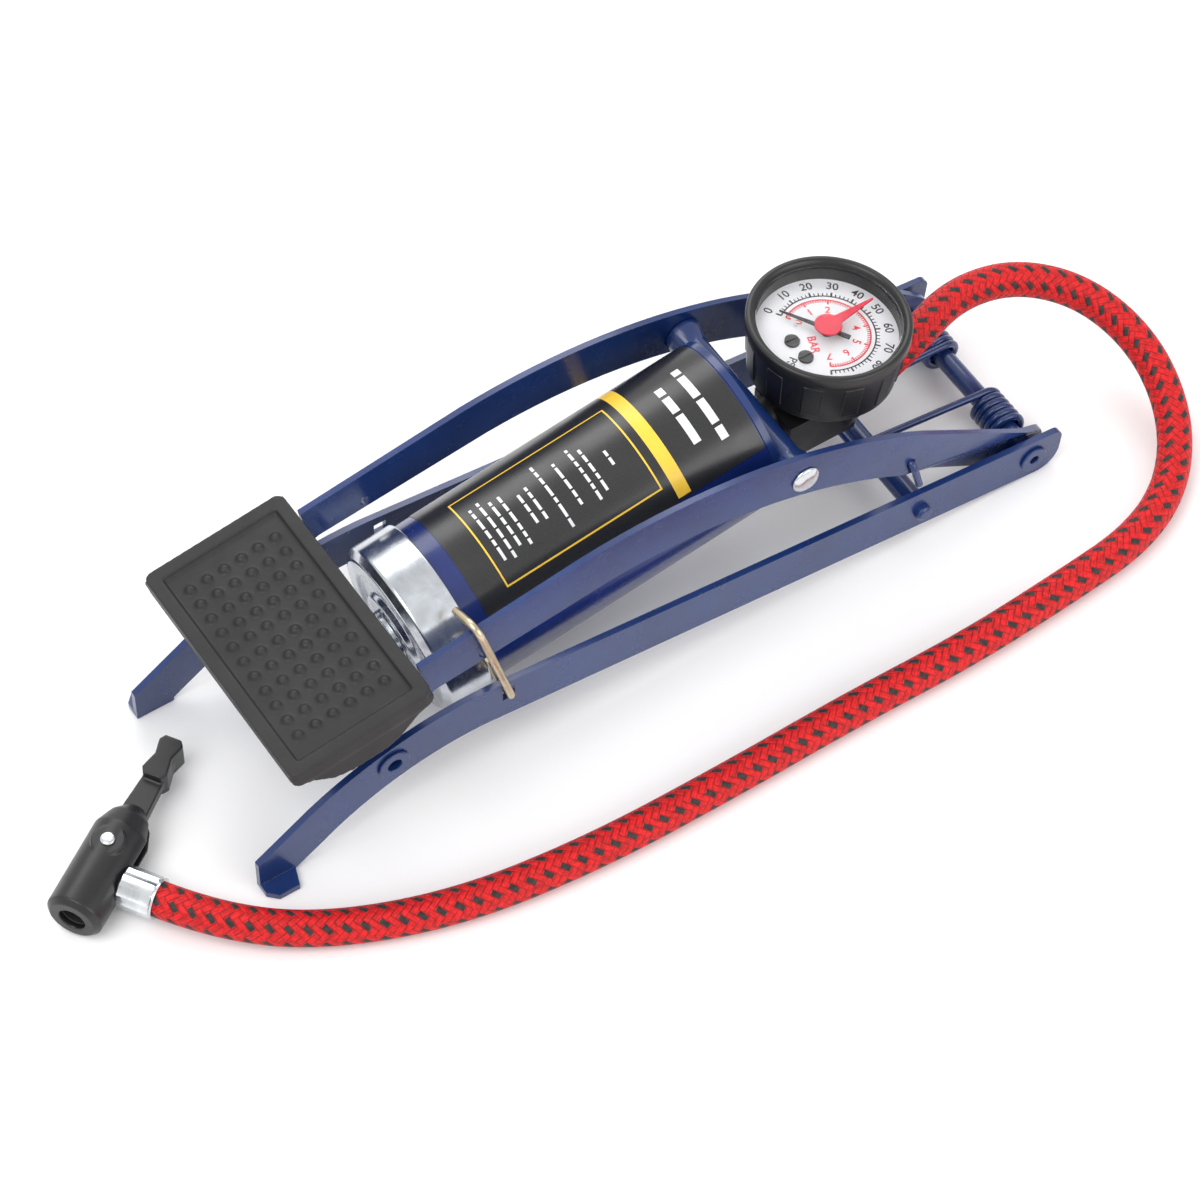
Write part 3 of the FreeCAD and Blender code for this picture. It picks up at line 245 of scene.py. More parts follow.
def plated(name, colour, rough_low, rough_high, smear=(1.0, 1.0, 1.0), spots=0.0, tint=None):
    """Zinc plate: cloudy passivation, rolling lines and dull spots."""
    r = Recipe(name)
    cloud = r.remap(r.noise(75.0, 4.0, 0.6, distort=0.8), 0.32, 0.68)
    tone = r.mix(cloud, shade(colour, 0.82), shade(colour, 1.10))
    if tint:
        tone = r.mix(r.remap(r.noise(150.0, 3.0, distort=1.5), 0.45, 0.7, 0.0, 0.75), tone, tint)
    lines = r.noise(900.0, 3.0, 0.6, stretch=smear)
    if spots:
        spot = r.remap(r.noise(420.0, 2.0), 0.68, 0.74, 0.0, spots)
        tone = r.mix(spot, tone, shade(colour, 0.35))
    rough = r.remap(r.noise(190.0, 4.0), 0.3, 0.7, rough_low, rough_high)
    relief = r.bump(lines, 0.00003, 0.35, r.bump(cloud, 0.00008, 0.15))
    return r.look(colour=tone, metal=1.0, rough=rough, normal=relief)


def moulded(name, colour, rough_low, rough_high, grain=0.25, grain_scale=1500.0, gloss=0.5):
    """Moulded plastic or rubber: fine texture, handling marks and pale dust."""
    r = Recipe(name)
    drift = r.remap(r.noise(55.0, 3.0), 0.3, 0.7)
    tone = r.mix(drift, shade(colour, 0.85), shade(colour, 1.2))
    dust = r.remap(r.noise(850.0, 5.0, 0.75), 0.68, 0.80, 0.0, 0.35)
    tone = r.mix(dust, tone, shade(colour, 3.2))
    rough = r.math("ADD", r.remap(r.noise(95.0, 4.0), 0.3, 0.7, rough_low, rough_high), r.math("MULTIPLY", dust, 0.25))
    fine = r.noise(grain_scale, 3.0, 0.6)
    broad = r.noise(140.0, 3.0, 0.5)
    relief = r.bump(fine, 0.00005, grain, r.bump(broad, 0.00015, 0.12))
    return r.look(colour=tone, rough=rough, normal=relief, gloss=gloss)


def printed(name, colour, rough=0.3, mottle=0.06):
    """Printed or sprayed ink, even in tone with a faint mottle."""
    r = Recipe(name)
    tone = r.mix(r.remap(r.noise(300.0, 4.0), 0.3, 0.7), shade(colour, 1.0 - mottle), shade(colour, 1.0 + mottle))
    relief = r.bump(r.noise(1200.0, 2.0), 0.00002, 0.2)
    return r.look(colour=tone, rough=r.remap(r.noise(90.0), 0.3, 0.7, rough * 0.85, rough * 1.2), normal=relief)


def label_film():
    """The wrap label: black film with a faint silk texture and small rubs."""
    r = Recipe("Label film")
    fine = r.noise(2600.0, 2.0)
    tone = r.mix(r.remap(fine, 0.35, 0.7), (0.010, 0.010, 0.011), (0.020, 0.020, 0.021))
    rub = r.remap(r.noise(210.0, 6.0, 0.75, distort=0.5), 0.68, 0.77, 0.0, 0.4)
    tone = r.mix(rub, tone, (0.10, 0.10, 0.11))
    rough = r.math("ADD", r.remap(r.noise(70.0), 0.3, 0.7, 0.26, 0.36), r.math("MULTIPLY", rub, 0.3))
    return r.look(colour=tone, rough=rough, normal=r.bump(fine, 0.00002, 0.3), coat=0.2, coat_rough=0.25)


def lens_clear():
    """The gauge's clear window, thin and slightly bowed, with moulding ripples."""
    r = Recipe("Clear lens")
    relief = r.bump(r.noise(45.0, 2.0), 0.0001, 0.15)
    return r.look(colour=(1.0, 1.0, 1.0), rough=0.03, see=1.0, ior=1.12, normal=relief)


def marker_clear():
    """The marker's red plastic."""
    r = Recipe("Marker red")
    tone = r.mix(r.remap(r.noise(400.0), 0.3, 0.7), colours().marker_red[:], shade(colours().marker_red, 1.25))
    return r.look(colour=tone, rough=0.2, gloss=0.5, normal=r.bump(r.noise(500.0), 0.00002, 0.2))


def floor_paper():
    """Pale backdrop paper."""
    r = Recipe("Floor paper")
    tone = r.mix(r.remap(r.noise(6.0), 0.3, 0.7), (0.90, 0.90, 0.90), (0.93, 0.93, 0.93))
    return r.look(colour=tone, rough=0.9, normal=r.bump(r.noise(900.0), 0.0001, 0.1))


STRANDS = 12
PITCH = 357.0


def braid():
    """The woven sleeve: two families of flat strands, two over and two under, every other one of a family dark, with
    painted shade in the grooves and low parts of the weave.
    """
    r = Recipe("Hose braid")
    weave = r.add("ShaderNodeUVMap", uv_map="Weave")
    parts = r.tree.nodes.new("ShaderNodeSeparateXYZ")
    r.feed(parts.inputs[0], weave)
    around = r.math("MULTIPLY", parts.outputs[0], float(STRANDS))
    length = r.math("MULTIPLY", parts.outputs[1], -PITCH)
    a, b = r.math("ADD", around, length), r.math("SUBTRACT", around, length)
    a_part, b_part = r.math("FRACT", a), r.math("FRACT", b)
    a_index, b_index = r.math("FLOOR", a), r.math("FLOOR", b)
    turn = r.math("FLOORED_MODULO", r.math("ADD", a_index, b_index), 4.0)
    a_top = r.math("LESS_THAN", turn, 1.5)
    across = r.mix_value(a_top, b_part, a_part)
    a_float = r.math("FLOORED_MODULO", r.math("ADD", turn, b_part), 4.0)
    b_float = r.math("FLOORED_MODULO", r.math("ADD", turn, r.math("ADD", a_part, -2.0)), 4.0)
    reach = r.math("MULTIPLY", r.mix_value(a_top, b_float, a_float), 0.5)
    arch = r.math("SINE", r.math("MULTIPLY", across, math.pi))
    rise = r.math("SINE", r.math("MULTIPLY", r.math("MINIMUM", r.math("MAXIMUM", reach, 0.0), 1.0), math.pi))
    height = r.math("MULTIPLY", r.math("POWER", r.math("MAXIMUM", arch, 0.0), 0.45),
                    r.math("MULTIPLY_ADD", r.math("POWER", r.math("MAXIMUM", rise, 0.0), 0.5), 0.5, 0.5))
    ends = r.math("ABSOLUTE", r.math("SINE", r.math("MULTIPLY", across, 2.0 * math.pi)))
    dark_strand = r.math("LESS_THAN", r.math("FLOORED_MODULO", a_index, 2.0), 0.5)
    slim = r.math("LESS_THAN", r.math("ABSOLUTE", r.math("SUBTRACT", across, 0.5)), 0.40)
    short = r.math("LESS_THAN", r.math("ABSOLUTE", r.math("SUBTRACT", reach, 0.5)), 0.40)
    tracer = r.math("MULTIPLY", r.math("MULTIPLY", a_top, dark_strand), r.math("MULTIPLY", slim, short))
    fibre = r.noise(2600.0, 4.0, 0.7)
    pick = r.remap(r.noise(700.0, 2.0), 0.35, 0.65)
    red = colours().braid_red[:]
    main = r.mix(pick, shade(red, 0.70), shade(red, 1.25))
    main = r.mix(r.remap(fibre, 0.5, 0.85, 0.0, 0.25), main, (0.80, 0.12, 0.08))
    dark = r.mix(pick, shade(colours().braid_dark[:], 0.6), shade(colours().braid_dark[:], 1.5))
    tone = r.mix(tracer, main, dark)
    # Painted shade: the red is darkened along the grooves at each strand's edges and middle, and darkened further where
    # the weave sinks between strands and under the crossing strands.
    tone = r.mix(r.remap(ends, 0.0, 0.5, 0.22, 0.0), tone, shade(red, 0.2))
    tone = r.mix(r.remap(height, 0.1, 0.62, 0.7, 0.0), tone, (0.10, 0.012, 0.01))
    body = r.math("MULTIPLY_ADD", ends, 0.16, r.math("MULTIPLY_ADD", fibre, 0.10, height))
    relief = r.bump(body, 0.00045, 0.85)
    return r.look(colour=tone, rough=r.remap(fibre, 0.3, 0.7, 0.44, 0.62), normal=relief, gloss=0.3)


FINISHES = {
    "blue_paint": lambda: gloss_paint("Frame blue paint", colours().frame_blue[:], 0.3),
    "blue_barrel": lambda: gloss_paint("Barrel blue paint", colours().barrel_blue[:], 0.25),
    "label_film": label_film,
    "label_yellow": lambda: printed("Label yellow ink", colours().band_yellow[:], 0.32, 0.05),
    "label_white": lambda: printed("Label white ink", (0.72, 0.72, 0.74), 0.34, 0.06),
    "zinc_cap": lambda: plated("Zinc cap", (0.62, 0.65, 0.69), 0.17, 0.30, (1.0, 0.05, 0.05), 0.12),
    "yellow_zinc": lambda: plated("Yellow zinc wire", (0.62, 0.54, 0.36), 0.22, 0.36, tint=(0.62, 0.42, 0.40)),
    "zinc_rivet": lambda: plated("Zinc rivet", (0.68, 0.70, 0.73), 0.16, 0.30),
    "rod_steel": lambda: plated("Ground steel", (0.56, 0.57, 0.60), 0.14, 0.26, (0.05, 1.0, 1.0)),
    "piston_alloy": lambda: plated("Turned alloy", (0.70, 0.71, 0.73), 0.25, 0.40),
    "ball_steel": lambda: plated("Ball steel", (0.72, 0.73, 0.75), 0.08, 0.15),
    "brass": lambda: plated("Turned brass", (0.66, 0.48, 0.20), 0.22, 0.36),
    "ferrule_zinc": lambda: plated("Crimped zinc sleeve", (0.66, 0.68, 0.70), 0.16, 0.30, spots=0.25),
    "seal_rubber": lambda: moulded("Seal rubber", (0.02, 0.02, 0.02), 0.5, 0.7),
    "pad_rubber": lambda: moulded("Pad rubber", (0.017, 0.017, 0.018), 0.48, 0.62, 0.35, 1100.0, 0.4),
    "black_plastic": lambda: moulded("Chuck plastic", (0.011, 0.011, 0.012), 0.30, 0.42, 0.22),
    "gauge_plastic": lambda: moulded("Gauge plastic", (0.009, 0.009, 0.010), 0.28, 0.40, 0.25),
    "lens": lens_clear,
    "dial_white": lambda: printed("Dial white", (0.80, 0.80, 0.83), 0.35, 0.02),
    "dial_black": lambda: printed("Dial black ink", (0.025, 0.025, 0.03), 0.4, 0.1),
    "dial_red": lambda: printed("Dial red ink", (0.72, 0.03, 0.045), 0.4, 0.08),
    "needle_black": lambda: printed("Needle black", (0.02, 0.02, 0.022), 0.35, 0.2),
    "marker_red": marker_clear,
    "hose_braid": braid,
    "floor": floor_paper,
}


# ------------------------------------------------------------------ making pieces

def put(mesh_or_bm, name, finishes, body, stands_for=(), smooth=35.0, edge=0.0, steps=2):
    """Makes the piece called name from a bmesh or a mesh, gives it its finishes and hangs it on its body."""
    if isinstance(mesh_or_bm, bmesh.types.BMesh):
        mesh = bpy.data.meshes.new(name)
        mesh_or_bm.normal_update()
        mesh_or_bm.to_mesh(mesh)
        mesh_or_bm.free()
    else:
        mesh = mesh_or_bm
        mesh.name = name
    piece = bpy.data.objects.new(name, mesh)
    bpy.context.scene.collection.objects.link(piece)
    mesh.materials.clear()
    for finish in [finishes] if isinstance(finishes, str) else finishes:
        mesh.materials.append(finish_of(finish))
    mesh.shade_smooth()
    mesh.set_sharp_from_angle(angle=math.radians(smooth))
    if edge:
        bevel = piece.modifiers.new("Edges", "BEVEL")
        bevel.width = edge
        bevel.segments = steps
        bevel.limit_method = "ANGLE"
        bevel.angle_limit = math.radians(32.0)
        bevel.harden_normals = False
        bevel.miter_outer = "MITER_ARC"
        fair = piece.modifiers.new("Flat faces", "WEIGHTED_NORMAL")
        fair.keep_sharp = True
    if body:
        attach(piece, body)
    if stands_for:
        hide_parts(*stands_for)
    return piece


def moulding(piece, grain, passes):
    """Fuses a piece's solids to one skin and softens its edges, as a moulding's are."""
    skin = piece.modifiers.new("One skin", "REMESH")
    skin.mode = "VOXEL"
    skin.voxel_size = grain
    skin.use_smooth_shade = True
    soft = piece.modifiers.new("Soft edges", "SMOOTH")
    soft.factor = 0.5
    soft.iterations = passes


def merged(node):
    """A closed bmesh of a frame node, its triangles joined and its flat faces dissolved to whole ones."""
    bm = bmesh.new()
    bm.from_mesh(frame["nodes"][node].data)
    bmesh.ops.remove_doubles(bm, verts=bm.verts, dist=2e-6)
    bmesh.ops.dissolve_degenerate(bm, edges=bm.edges, dist=5e-6)
    bmesh.ops.dissolve_limit(bm, angle_limit=math.radians(1.6), verts=bm.verts, edges=bm.edges,
                             delimit={"NORMAL"})
    return bm


def dressed(node, finish, edge=0.0, steps=2, smooth=35.0):
    """The frame node's own shape with rounded edges and its finish."""
    body = frame["nodes"][node]["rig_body"]
    piece = put(merged(node), node + ".finished", finish, body, [node], smooth, edge, steps)
    return piece


def along(origin, x_axis, y_axis=(0.0, 1.0, 0.0)):
    """The matrix of a frame at origin whose X and Y axes are given, in metres."""
    x = Vector(x_axis).normalized()
    y = Vector(y_axis).normalized()
    z = x.cross(y)
    return Matrix.Translation(Vector(origin)) @ Matrix((x, y, z)).transposed().to_4x4()


def tilted(degrees):
    return (math.cos(math.radians(degrees)), 0.0, math.sin(math.radians(degrees)))


BARREL_FRAME = along((-0.0998, 0.0, 0.0284), tilted(8.66))
GAUGE_FRAME = along((0.0815, 0.0, 0.0771), tilted(-5.8))
PAD_FRAME = along((-0.0882, 0.0, 0.0641), tilted(8.33))


def spun(profile, axis_frame, turns=96, sweep=360.0):
    """A body of revolution: profile lists (along, out) in millimetres about the frame's X axis."""
    bm = bmesh.new()
    verts = [bm.verts.new((a * MM, 0.0, r * MM)) for a, r in profile]
    edges = [bm.edges.new(pair) for pair in zip(verts, verts[1:])]
    bmesh.ops.spin(bm, geom=verts + edges, cent=(0, 0, 0), axis=(1, 0, 0), dvec=(0, 0, 0),
                   angle=math.radians(sweep), steps=turns, use_merge=sweep >= 360.0)
    bmesh.ops.remove_doubles(bm, verts=bm.verts, dist=1e-6)
    bmesh.ops.recalc_face_normals(bm, faces=bm.faces)
    bmesh.ops.transform(bm, matrix=axis_frame, verts=bm.verts)
    return bm


UPRIGHT = Matrix(((0, 0, 1), (0, 1, 0), (-1, 0, 0))).transposed().to_4x4()


def box_bm(low, high, place=Matrix.Identity(4)):
    """A block between two corners in millimetres, moved by place."""
    bm = bmesh.new()
    bmesh.ops.create_cube(bm, size=1.0)
    middle = [(a + b) / 2 * MM for a, b in zip(low, high)]
    size = [(b - a) * MM for a, b in zip(low, high)]
    fit = Matrix.Translation(middle) @ Matrix.Diagonal((*size, 1.0))
    bmesh.ops.transform(bm, matrix=place @ fit, verts=bm.verts)
    return bm


def joined(parts):
    """One bmesh of several, each freed."""
    whole = bmesh.new()
    for part in parts:
        mesh = bpy.data.meshes.new("part")
        part.to_mesh(mesh)
        part.free()
        whole.from_mesh(mesh)
        bpy.data.meshes.remove(mesh)
    return whole


# ------------------------------------------------------------------ sheet frame

class PUMP_OT_sheet_frame(bpy.types.Operator):
    """Base rails, pedal arms, pedal plate and the painted rods between them"""
    bl_idname = "pump.sheet_frame"
    bl_label = "Sheet frame"

    def execute(self, context):
        edge = sizes().edge
        for node in ("base_rail_near", "base_rail_far", "pedal_arm_near", "pedal_arm_far", "pedal_plate"):
            dressed(node, "blue_paint", edge, 2)
        for node in ("front_spacers", "lower_cross_rod", "front_pin", "rear_shaft"):
            dressed(node, "blue_paint", edge * 0.8, 2)
        dressed("head_rivets", "zinc_rivet", 0.0004, 3)
        return {"FINISHED"}


# ------------------------------------------------------------------ spring and latch

class PUMP_OT_spring(bpy.types.Operator):
    """Torsion spring on the rear shaft and the wire latch"""
    bl_idname = "pump.spring"
    bl_label = "Spring and latch"

    def execute(self, context):
        whole = merged("torsion_spring")
        groups = connected(whole)
        whole.free()
        parts = {"near": [], "far": [], "middle": []}
        for part in groups:
            ys = [v.co.y for v in part.verts]
            side = "middle" if min(ys) < 0 < max(ys) else "near" if max(ys) < 0 else "far"
            parts[side].append(part)
        middle = put(joined(parts["middle"]), "spring.bridge", "blue_paint", "base_frame", ["torsion_spring"])
        for side, sign in (("near", -1), ("far", 1)):
            coil = put(joined(parts[side]), "spring." + side, "blue_paint", None, ["torsion_spring"])
            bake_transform(coil)
        dressed("wire_latch", "yellow_zinc")
        return {"FINISHED"}


def connected(bm):
    """Separate bmeshes of the parts of bm that don't touch."""
    left = set(bm.verts)
    found = []
    while left:
        seed = left.pop()
        group, edge = {seed}, [seed]
        while edge:
            vert = edge.pop()
            for link in vert.link_edges:
                other = link.other_vert(vert)
                if other not in group:
                    group.add(other)
                    edge.append(other)
        left -= group
        copy = bm.copy()
        keep = {v.index for v in group}
        copy.verts.ensure_lookup_table()
        bmesh.ops.delete(copy, geom=[v for v in copy.verts if v.index not in keep], context="VERTS")
        found.append(copy)
    return found


# ------------------------------------------------------------------ piston, barrel, cap

class PUMP_OT_piston(bpy.types.Operator):
    """Piston rod, disc, seals and nut"""
    bl_idname = "pump.piston"
    bl_label = "Piston and rod"

    def execute(self, context):
        dressed("piston_rod", "rod_steel", 0.0004)
        dressed("piston_disc", "piston_alloy", 0.0003)
        dressed("cup_seal", "seal_rubber", 0.0003)
        dressed("seal_washer", "zinc_rivet", 0.0002)
        dressed("piston_nut", "zinc_rivet", 0.0003)
        return {"FINISHED"}


def strip_on_barrel(bm, s0, s1, a0, a1, radius):
    """A thin patch on the barrel from s0 to s1 millimetres and a0 to a1 degrees from the top, far side positive."""
    steps = max(2, int(abs(a1 - a0) / 2.5))
    row = [bm.verts.new((s * MM, 0.0, radius)) for s in (s0, s1)]
    edge = bm.edges.new(row)
    bmesh.ops.rotate(bm, cent=(0, 0, 0), matrix=Matrix.Rotation(math.radians(-a0), 3, "X"), verts=row)
    bmesh.ops.spin(bm, geom=row + [edge], cent=(0, 0, 0), axis=(1, 0, 0), dvec=(0, 0, 0),
                   angle=math.radians(a0 - a1), steps=steps, use_merge=False)


def on_barrel(name, patches, finish, lift):
    """Thin printed patches laid on the label."""
    radius = sizes().barrel_radius + 0.00015 + lift
    bm = bmesh.new()
    for s0, s1, a0, a1 in patches:
        strip_on_barrel(bm, s0, s1, a0, a1, radius)
    bmesh.ops.recalc_face_normals(bm, faces=bm.faces)
    for face in bm.faces:
        centre = face.calc_center_median()
        if face.normal.dot(Vector((0.0, centre.y, centre.z))) < 0:
            face.normal_flip()
    bmesh.ops.transform(bm, matrix=BARREL_FRAME, verts=bm.verts)
    return put(bm, name, finish, "cylinder")


def blank_lines():
    """Plain bars where a label has its lines of words: (from, to) along the barrel and round it."""
    picker = random.Random(7)
    rows = [(103.5, 13), (97.5, 36), (94.4, 42), (88.6, 34), (82.8, 52), (77.4, 26), (74.3, 24), (69.2, 42), (66.1, 36),
            (63.0, 46), (59.9, 42), (136.6, 60), (128.6, 46)]
    bars = []
    for at, sweep in rows:
        bold = at > 120.0
        tall = 2.7 if bold else 0.95
        gap = 2.6 if bold else 1.5
        angle, stop = -8.0 - sweep / 2.0, -8.0 + sweep / 2.0
        while angle < stop - 1.5:
            reach = min(stop, angle + picker.uniform(3.5, 9.5) * (2.4 if bold else 1.0))
            bars.append((at - tall / 2, at + tall / 2, angle, reach))
            angle = reach + gap
    return bars


class PUMP_OT_barrel(bpy.types.Operator):
    """Barrel tube, wrap label with its band and frame lines, front cap and rod guide"""
    bl_idname = "pump.barrel"
    bl_label = "Barrel and cap"

    def execute(self, context):
        dressed("barrel", "blue_barrel", 0.0003)
        label = dressed("barrel_label", "label_film")
        band = on_barrel("label.band", [(115.0, 119.5, -55.0, 94.5)], "label_yellow", 0.00003)
        line = 0.55
        wide = math.degrees(line / 27.6)
        box = (56.0, 112.0, -44.0, 28.0)
        frame_line = on_barrel("label.frame", [
            (box[0], box[0] + line, box[2], box[3]), (box[1] - line, box[1], box[2], box[3]),
            (box[0] + line, box[1] - line, box[2], box[2] + wide),
            (box[0] + line, box[1] - line, box[3] - wide, box[3])], "label_yellow", 0.00003)
        words = on_barrel("label.lines", blank_lines(), "label_white", 0.00003)
        dressed("front_cap", "zinc_cap", 0.0005, 3, 40.0)
        dressed("rod_guide", "zinc_cap", 0.0003)
        dressed("cylinder_head", "blue_paint", 0.0005)
        dressed("outlet_ball", "ball_steel")
        return {"FINISHED"}


# ------------------------------------------------------------------ gauge

ZERO_ANGLE = 123.0
SCALE_SWEEP = 243.0
DIAL_DEPTH = 7.5


def on_dial(bm, depth):
    """Moves a flat piece made in millimetres on the dial's plane to its place."""
    place = GAUGE_FRAME @ Matrix.Translation((0.0, 0.0, -depth * MM)) @ Matrix.Scale(MM, 4)
    bmesh.ops.transform(bm, matrix=place, verts=bm.verts)


def ring_patch(bm, inner, outer, start, end):
    """A flat arc about the dial's centre."""
    row = [bm.verts.new((r, 0.0, 0.0)) for r in (inner, outer)]
    edge = bm.edges.new(row)
    bmesh.ops.rotate(bm, cent=(0, 0, 0), matrix=Matrix.Rotation(math.radians(start), 3, "Z"), verts=row)
    steps = max(2, int(abs(end - start) / 3.0))
    bmesh.ops.spin(bm, geom=row + [edge], cent=(0, 0, 0), axis=(0, 0, 1), dvec=(0, 0, 0),
                   angle=math.radians(end - start), steps=steps, use_merge=False)


def tick(bm, angle, inner, outer, wide):
    """A flat radial tick."""
    made = bmesh.ops.create_grid(bm, x_segments=1, y_segments=1, size=0.5)
    fit = Matrix.Rotation(math.radians(angle), 4, "Z") @ Matrix.Translation(((inner + outer) / 2, 0, 0))
    bmesh.ops.transform(bm, matrix=fit @ Matrix.Diagonal((outer - inner, wide, 1, 1)), verts=made["verts"])


def lettering(text, size, x, y, turn=-90.0, bold=0.0):
    """Text as a flat bmesh in millimetres, centred at x, y, its top towards turn + 90 degrees."""
    curve = bpy.data.curves.new("text", "FONT")
    curve.body = text
    curve.size = size
    curve.align_x = "CENTER"
    curve.align_y = "CENTER"
    curve.offset = bold
    curve.resolution_u = 3
    holder = bpy.data.objects.new("text", curve)
    bpy.context.scene.collection.objects.link(holder)
    bpy.context.view_layer.update()
    mesh = bpy.data.meshes.new_from_object(holder.evaluated_get(bpy.context.evaluated_depsgraph_get()))
    bpy.data.objects.remove(holder)
    bm = bmesh.new()
    bm.from_mesh(mesh)
    bpy.data.meshes.remove(mesh)
    bmesh.ops.remove_doubles(bm, verts=bm.verts, dist=1e-5)
    place = Matrix.Translation((x, y, 0.0)) @ Matrix.Rotation(math.radians(turn), 4, "Z")
    bmesh.ops.transform(bm, matrix=place, verts=bm.verts)
    return bm


def scale_marks(top, step_marks, arc, major, minor, number_at, number_size, spread=1.0):
    """One scale's arc, ticks and numbers, as bmeshes in millimetres on the dial."""
    marks = bmesh.new()
    ring_patch(marks, arc - 0.24, arc + 0.24, ZERO_ANGLE, ZERO_ANGLE - SCALE_SWEEP)
    count = top * step_marks
    for i in range(count + 1):
        angle = ZERO_ANGLE - SCALE_SWEEP * i / count
        reach = major if i % step_marks == 0 else minor
        low, high = sorted((arc, arc + reach))
        tick(marks, angle, low, high, 0.60 if i % step_marks == 0 else 0.36)
    parts = [marks]
    for i in range(top + 1):
        angle = math.radians(ZERO_ANGLE - SCALE_SWEEP * i / top)
        text = str(int(i * spread))
        parts.append(lettering(text, number_size, number_at * math.cos(angle), number_at * math.sin(angle),
                               math.degrees(angle) - 90.0, 0.06))
    return parts


def case_profile():
    """The tapered case outside, its back and the well inside, from the stem to the bezel."""
    return [(-23.0, 4.6), (-23.0, 21.8), (-22.4, 22.6), (-21.4, 23.3), (-5.2, 25.0), (-4.0, 25.1), (-4.0, 22.6),
            (-8.3, 22.6), (-8.3, 21.0), (-20.5, 21.0), (-20.5, 4.6), (-23.0, 4.6)]


def case_ribs():
    """The shallow raised panels round the case."""
    parts = []
    count = 12
    for i in range(count):
        turn = Matrix.Rotation(2 * math.pi * (i + 0.5) / count, 4, "Z")
        panel = bmesh.new()
        bmesh.ops.create_cube(panel, size=1.0)
        bmesh.ops.transform(panel, matrix=Matrix.Diagonal((0.0016, 0.0062, 0.0136, 1.0)), verts=panel.verts)
        for vert in panel.verts:
            if vert.co.z < 0:
                vert.co.x -= 0.0014
            vert.co.y *= 1.0 if vert.co.z > 0 else 0.94
        place = GAUGE_FRAME @ turn @ Matrix.Translation((0.02405 + 0.0002, 0.0, -0.0128))
        bmesh.ops.transform(panel, matrix=place, verts=panel.verts)
        parts.append(panel)
    return parts


class PUMP_OT_gauge(bpy.types.Operator):
    """Pressure gauge: case, bezel, lens, dial with its two scales, needle and marker"""
    bl_idname = "pump.gauge"
    bl_label = "Gauge"

    def execute(self, context):
        axis = GAUGE_FRAME @ UPRIGHT
        case = put(joined([spun(case_profile(), axis)] + case_ribs()), "gauge.case", "gauge_plastic", "cylinder",
                   ["gauge_case"], 30.0, 0.00035, 2)
        bezel = spun([(-4.0, 22.6), (-4.0, 25.2), (-3.6, 25.8), (-0.9, 25.8), (-0.25, 25.5), (0.0, 24.9), (0.0, 24.1),
                      (-0.25, 23.6), (-1.5, 23.0), (-1.6, 22.6), (-4.0, 22.6)], axis)
        put(bezel, "gauge.bezel", "gauge_plastic", "cylinder", ["gauge_bezel"], 50.0)
        wall = spun([(-7.5, 22.35), (-7.5, 22.6), (-2.8, 22.6), (-2.8, 22.35), (-7.5, 22.35)], axis)
        put(wall, "gauge.wall", "gauge_plastic", "cylinder", ["gauge_inner_ring"])
        dressed("gauge_lens", "lens", 0.0002)
        dressed("gauge_dial", "dial_white")
        dressed("dial_screws", "needle_black", 0.0003, 2)
        dressed("needle_stop", "dial_white", 0.0002)
        dressed("gauge_needle", "needle_black", 0.0001)
        dressed("set_marker", "marker_red", 0.00015)
        dressed("gauge_movement", "brass", 0.0002)
        dressed("pressure_tube", "brass")
        dressed("gauge_stem", "brass", 0.0003)
        dressed("gauge_block", "black_plastic", 0.0008, 3)
        self.scales()
        return {"FINISHED"}

    def scales(self):
        outer = scale_marks(10, 5, 15.2, 1.7, 1.2, 19.4, 4.0, 10.0)
        outer.append(lettering("PSI", 3.8, -16.6, -4.6, -145.0, 0.05))
        inner = scale_marks(7, 10, 13.6, -1.7, -1.1, 9.4, 3.7)
        inner.append(lettering("BAR", 3.8, -6.4, -1.9, -110.0, 0.07))
        for name, parts, finish in (("dial.outer_scale", outer, "dial_black"), ("dial.inner_scale", inner, "dial_red")):
            bm = joined(parts)
            for face in bm.faces:
                face.normal_update()
                if face.normal.z < 0:
                    face.normal_flip()
            on_dial(bm, DIAL_DEPTH - 0.04)
            put(bm, name, finish, "cylinder")


# ------------------------------------------------------------------ hose

def centre_line():
    """The hose's centre line as points, read from one smooth open spline through its route."""
    curve = bpy.data.curves.new("route", "CURVE")
    curve.dimensions = "3D"
    curve.resolution_u = 24
    spline = curve.splines.new("NURBS")
    spline.points.add(len(HOSE_ROUTE) - 1)
    for point, place in zip(spline.points, HOSE_ROUTE):
        point.co = (*place, 1.0)
    spline.order_u = 3
    spline.use_endpoint_u = True
    holder = bpy.data.objects.new("route", curve)
    bpy.context.scene.collection.objects.link(holder)
    bpy.context.view_layer.update()
    line = bpy.data.meshes.new_from_object(holder.evaluated_get(bpy.context.evaluated_depsgraph_get()))
    points = [v.co.copy() for v in line.vertices]
    bpy.data.objects.remove(holder)
    bpy.data.meshes.remove(line)
    return points


SPOKES = 40


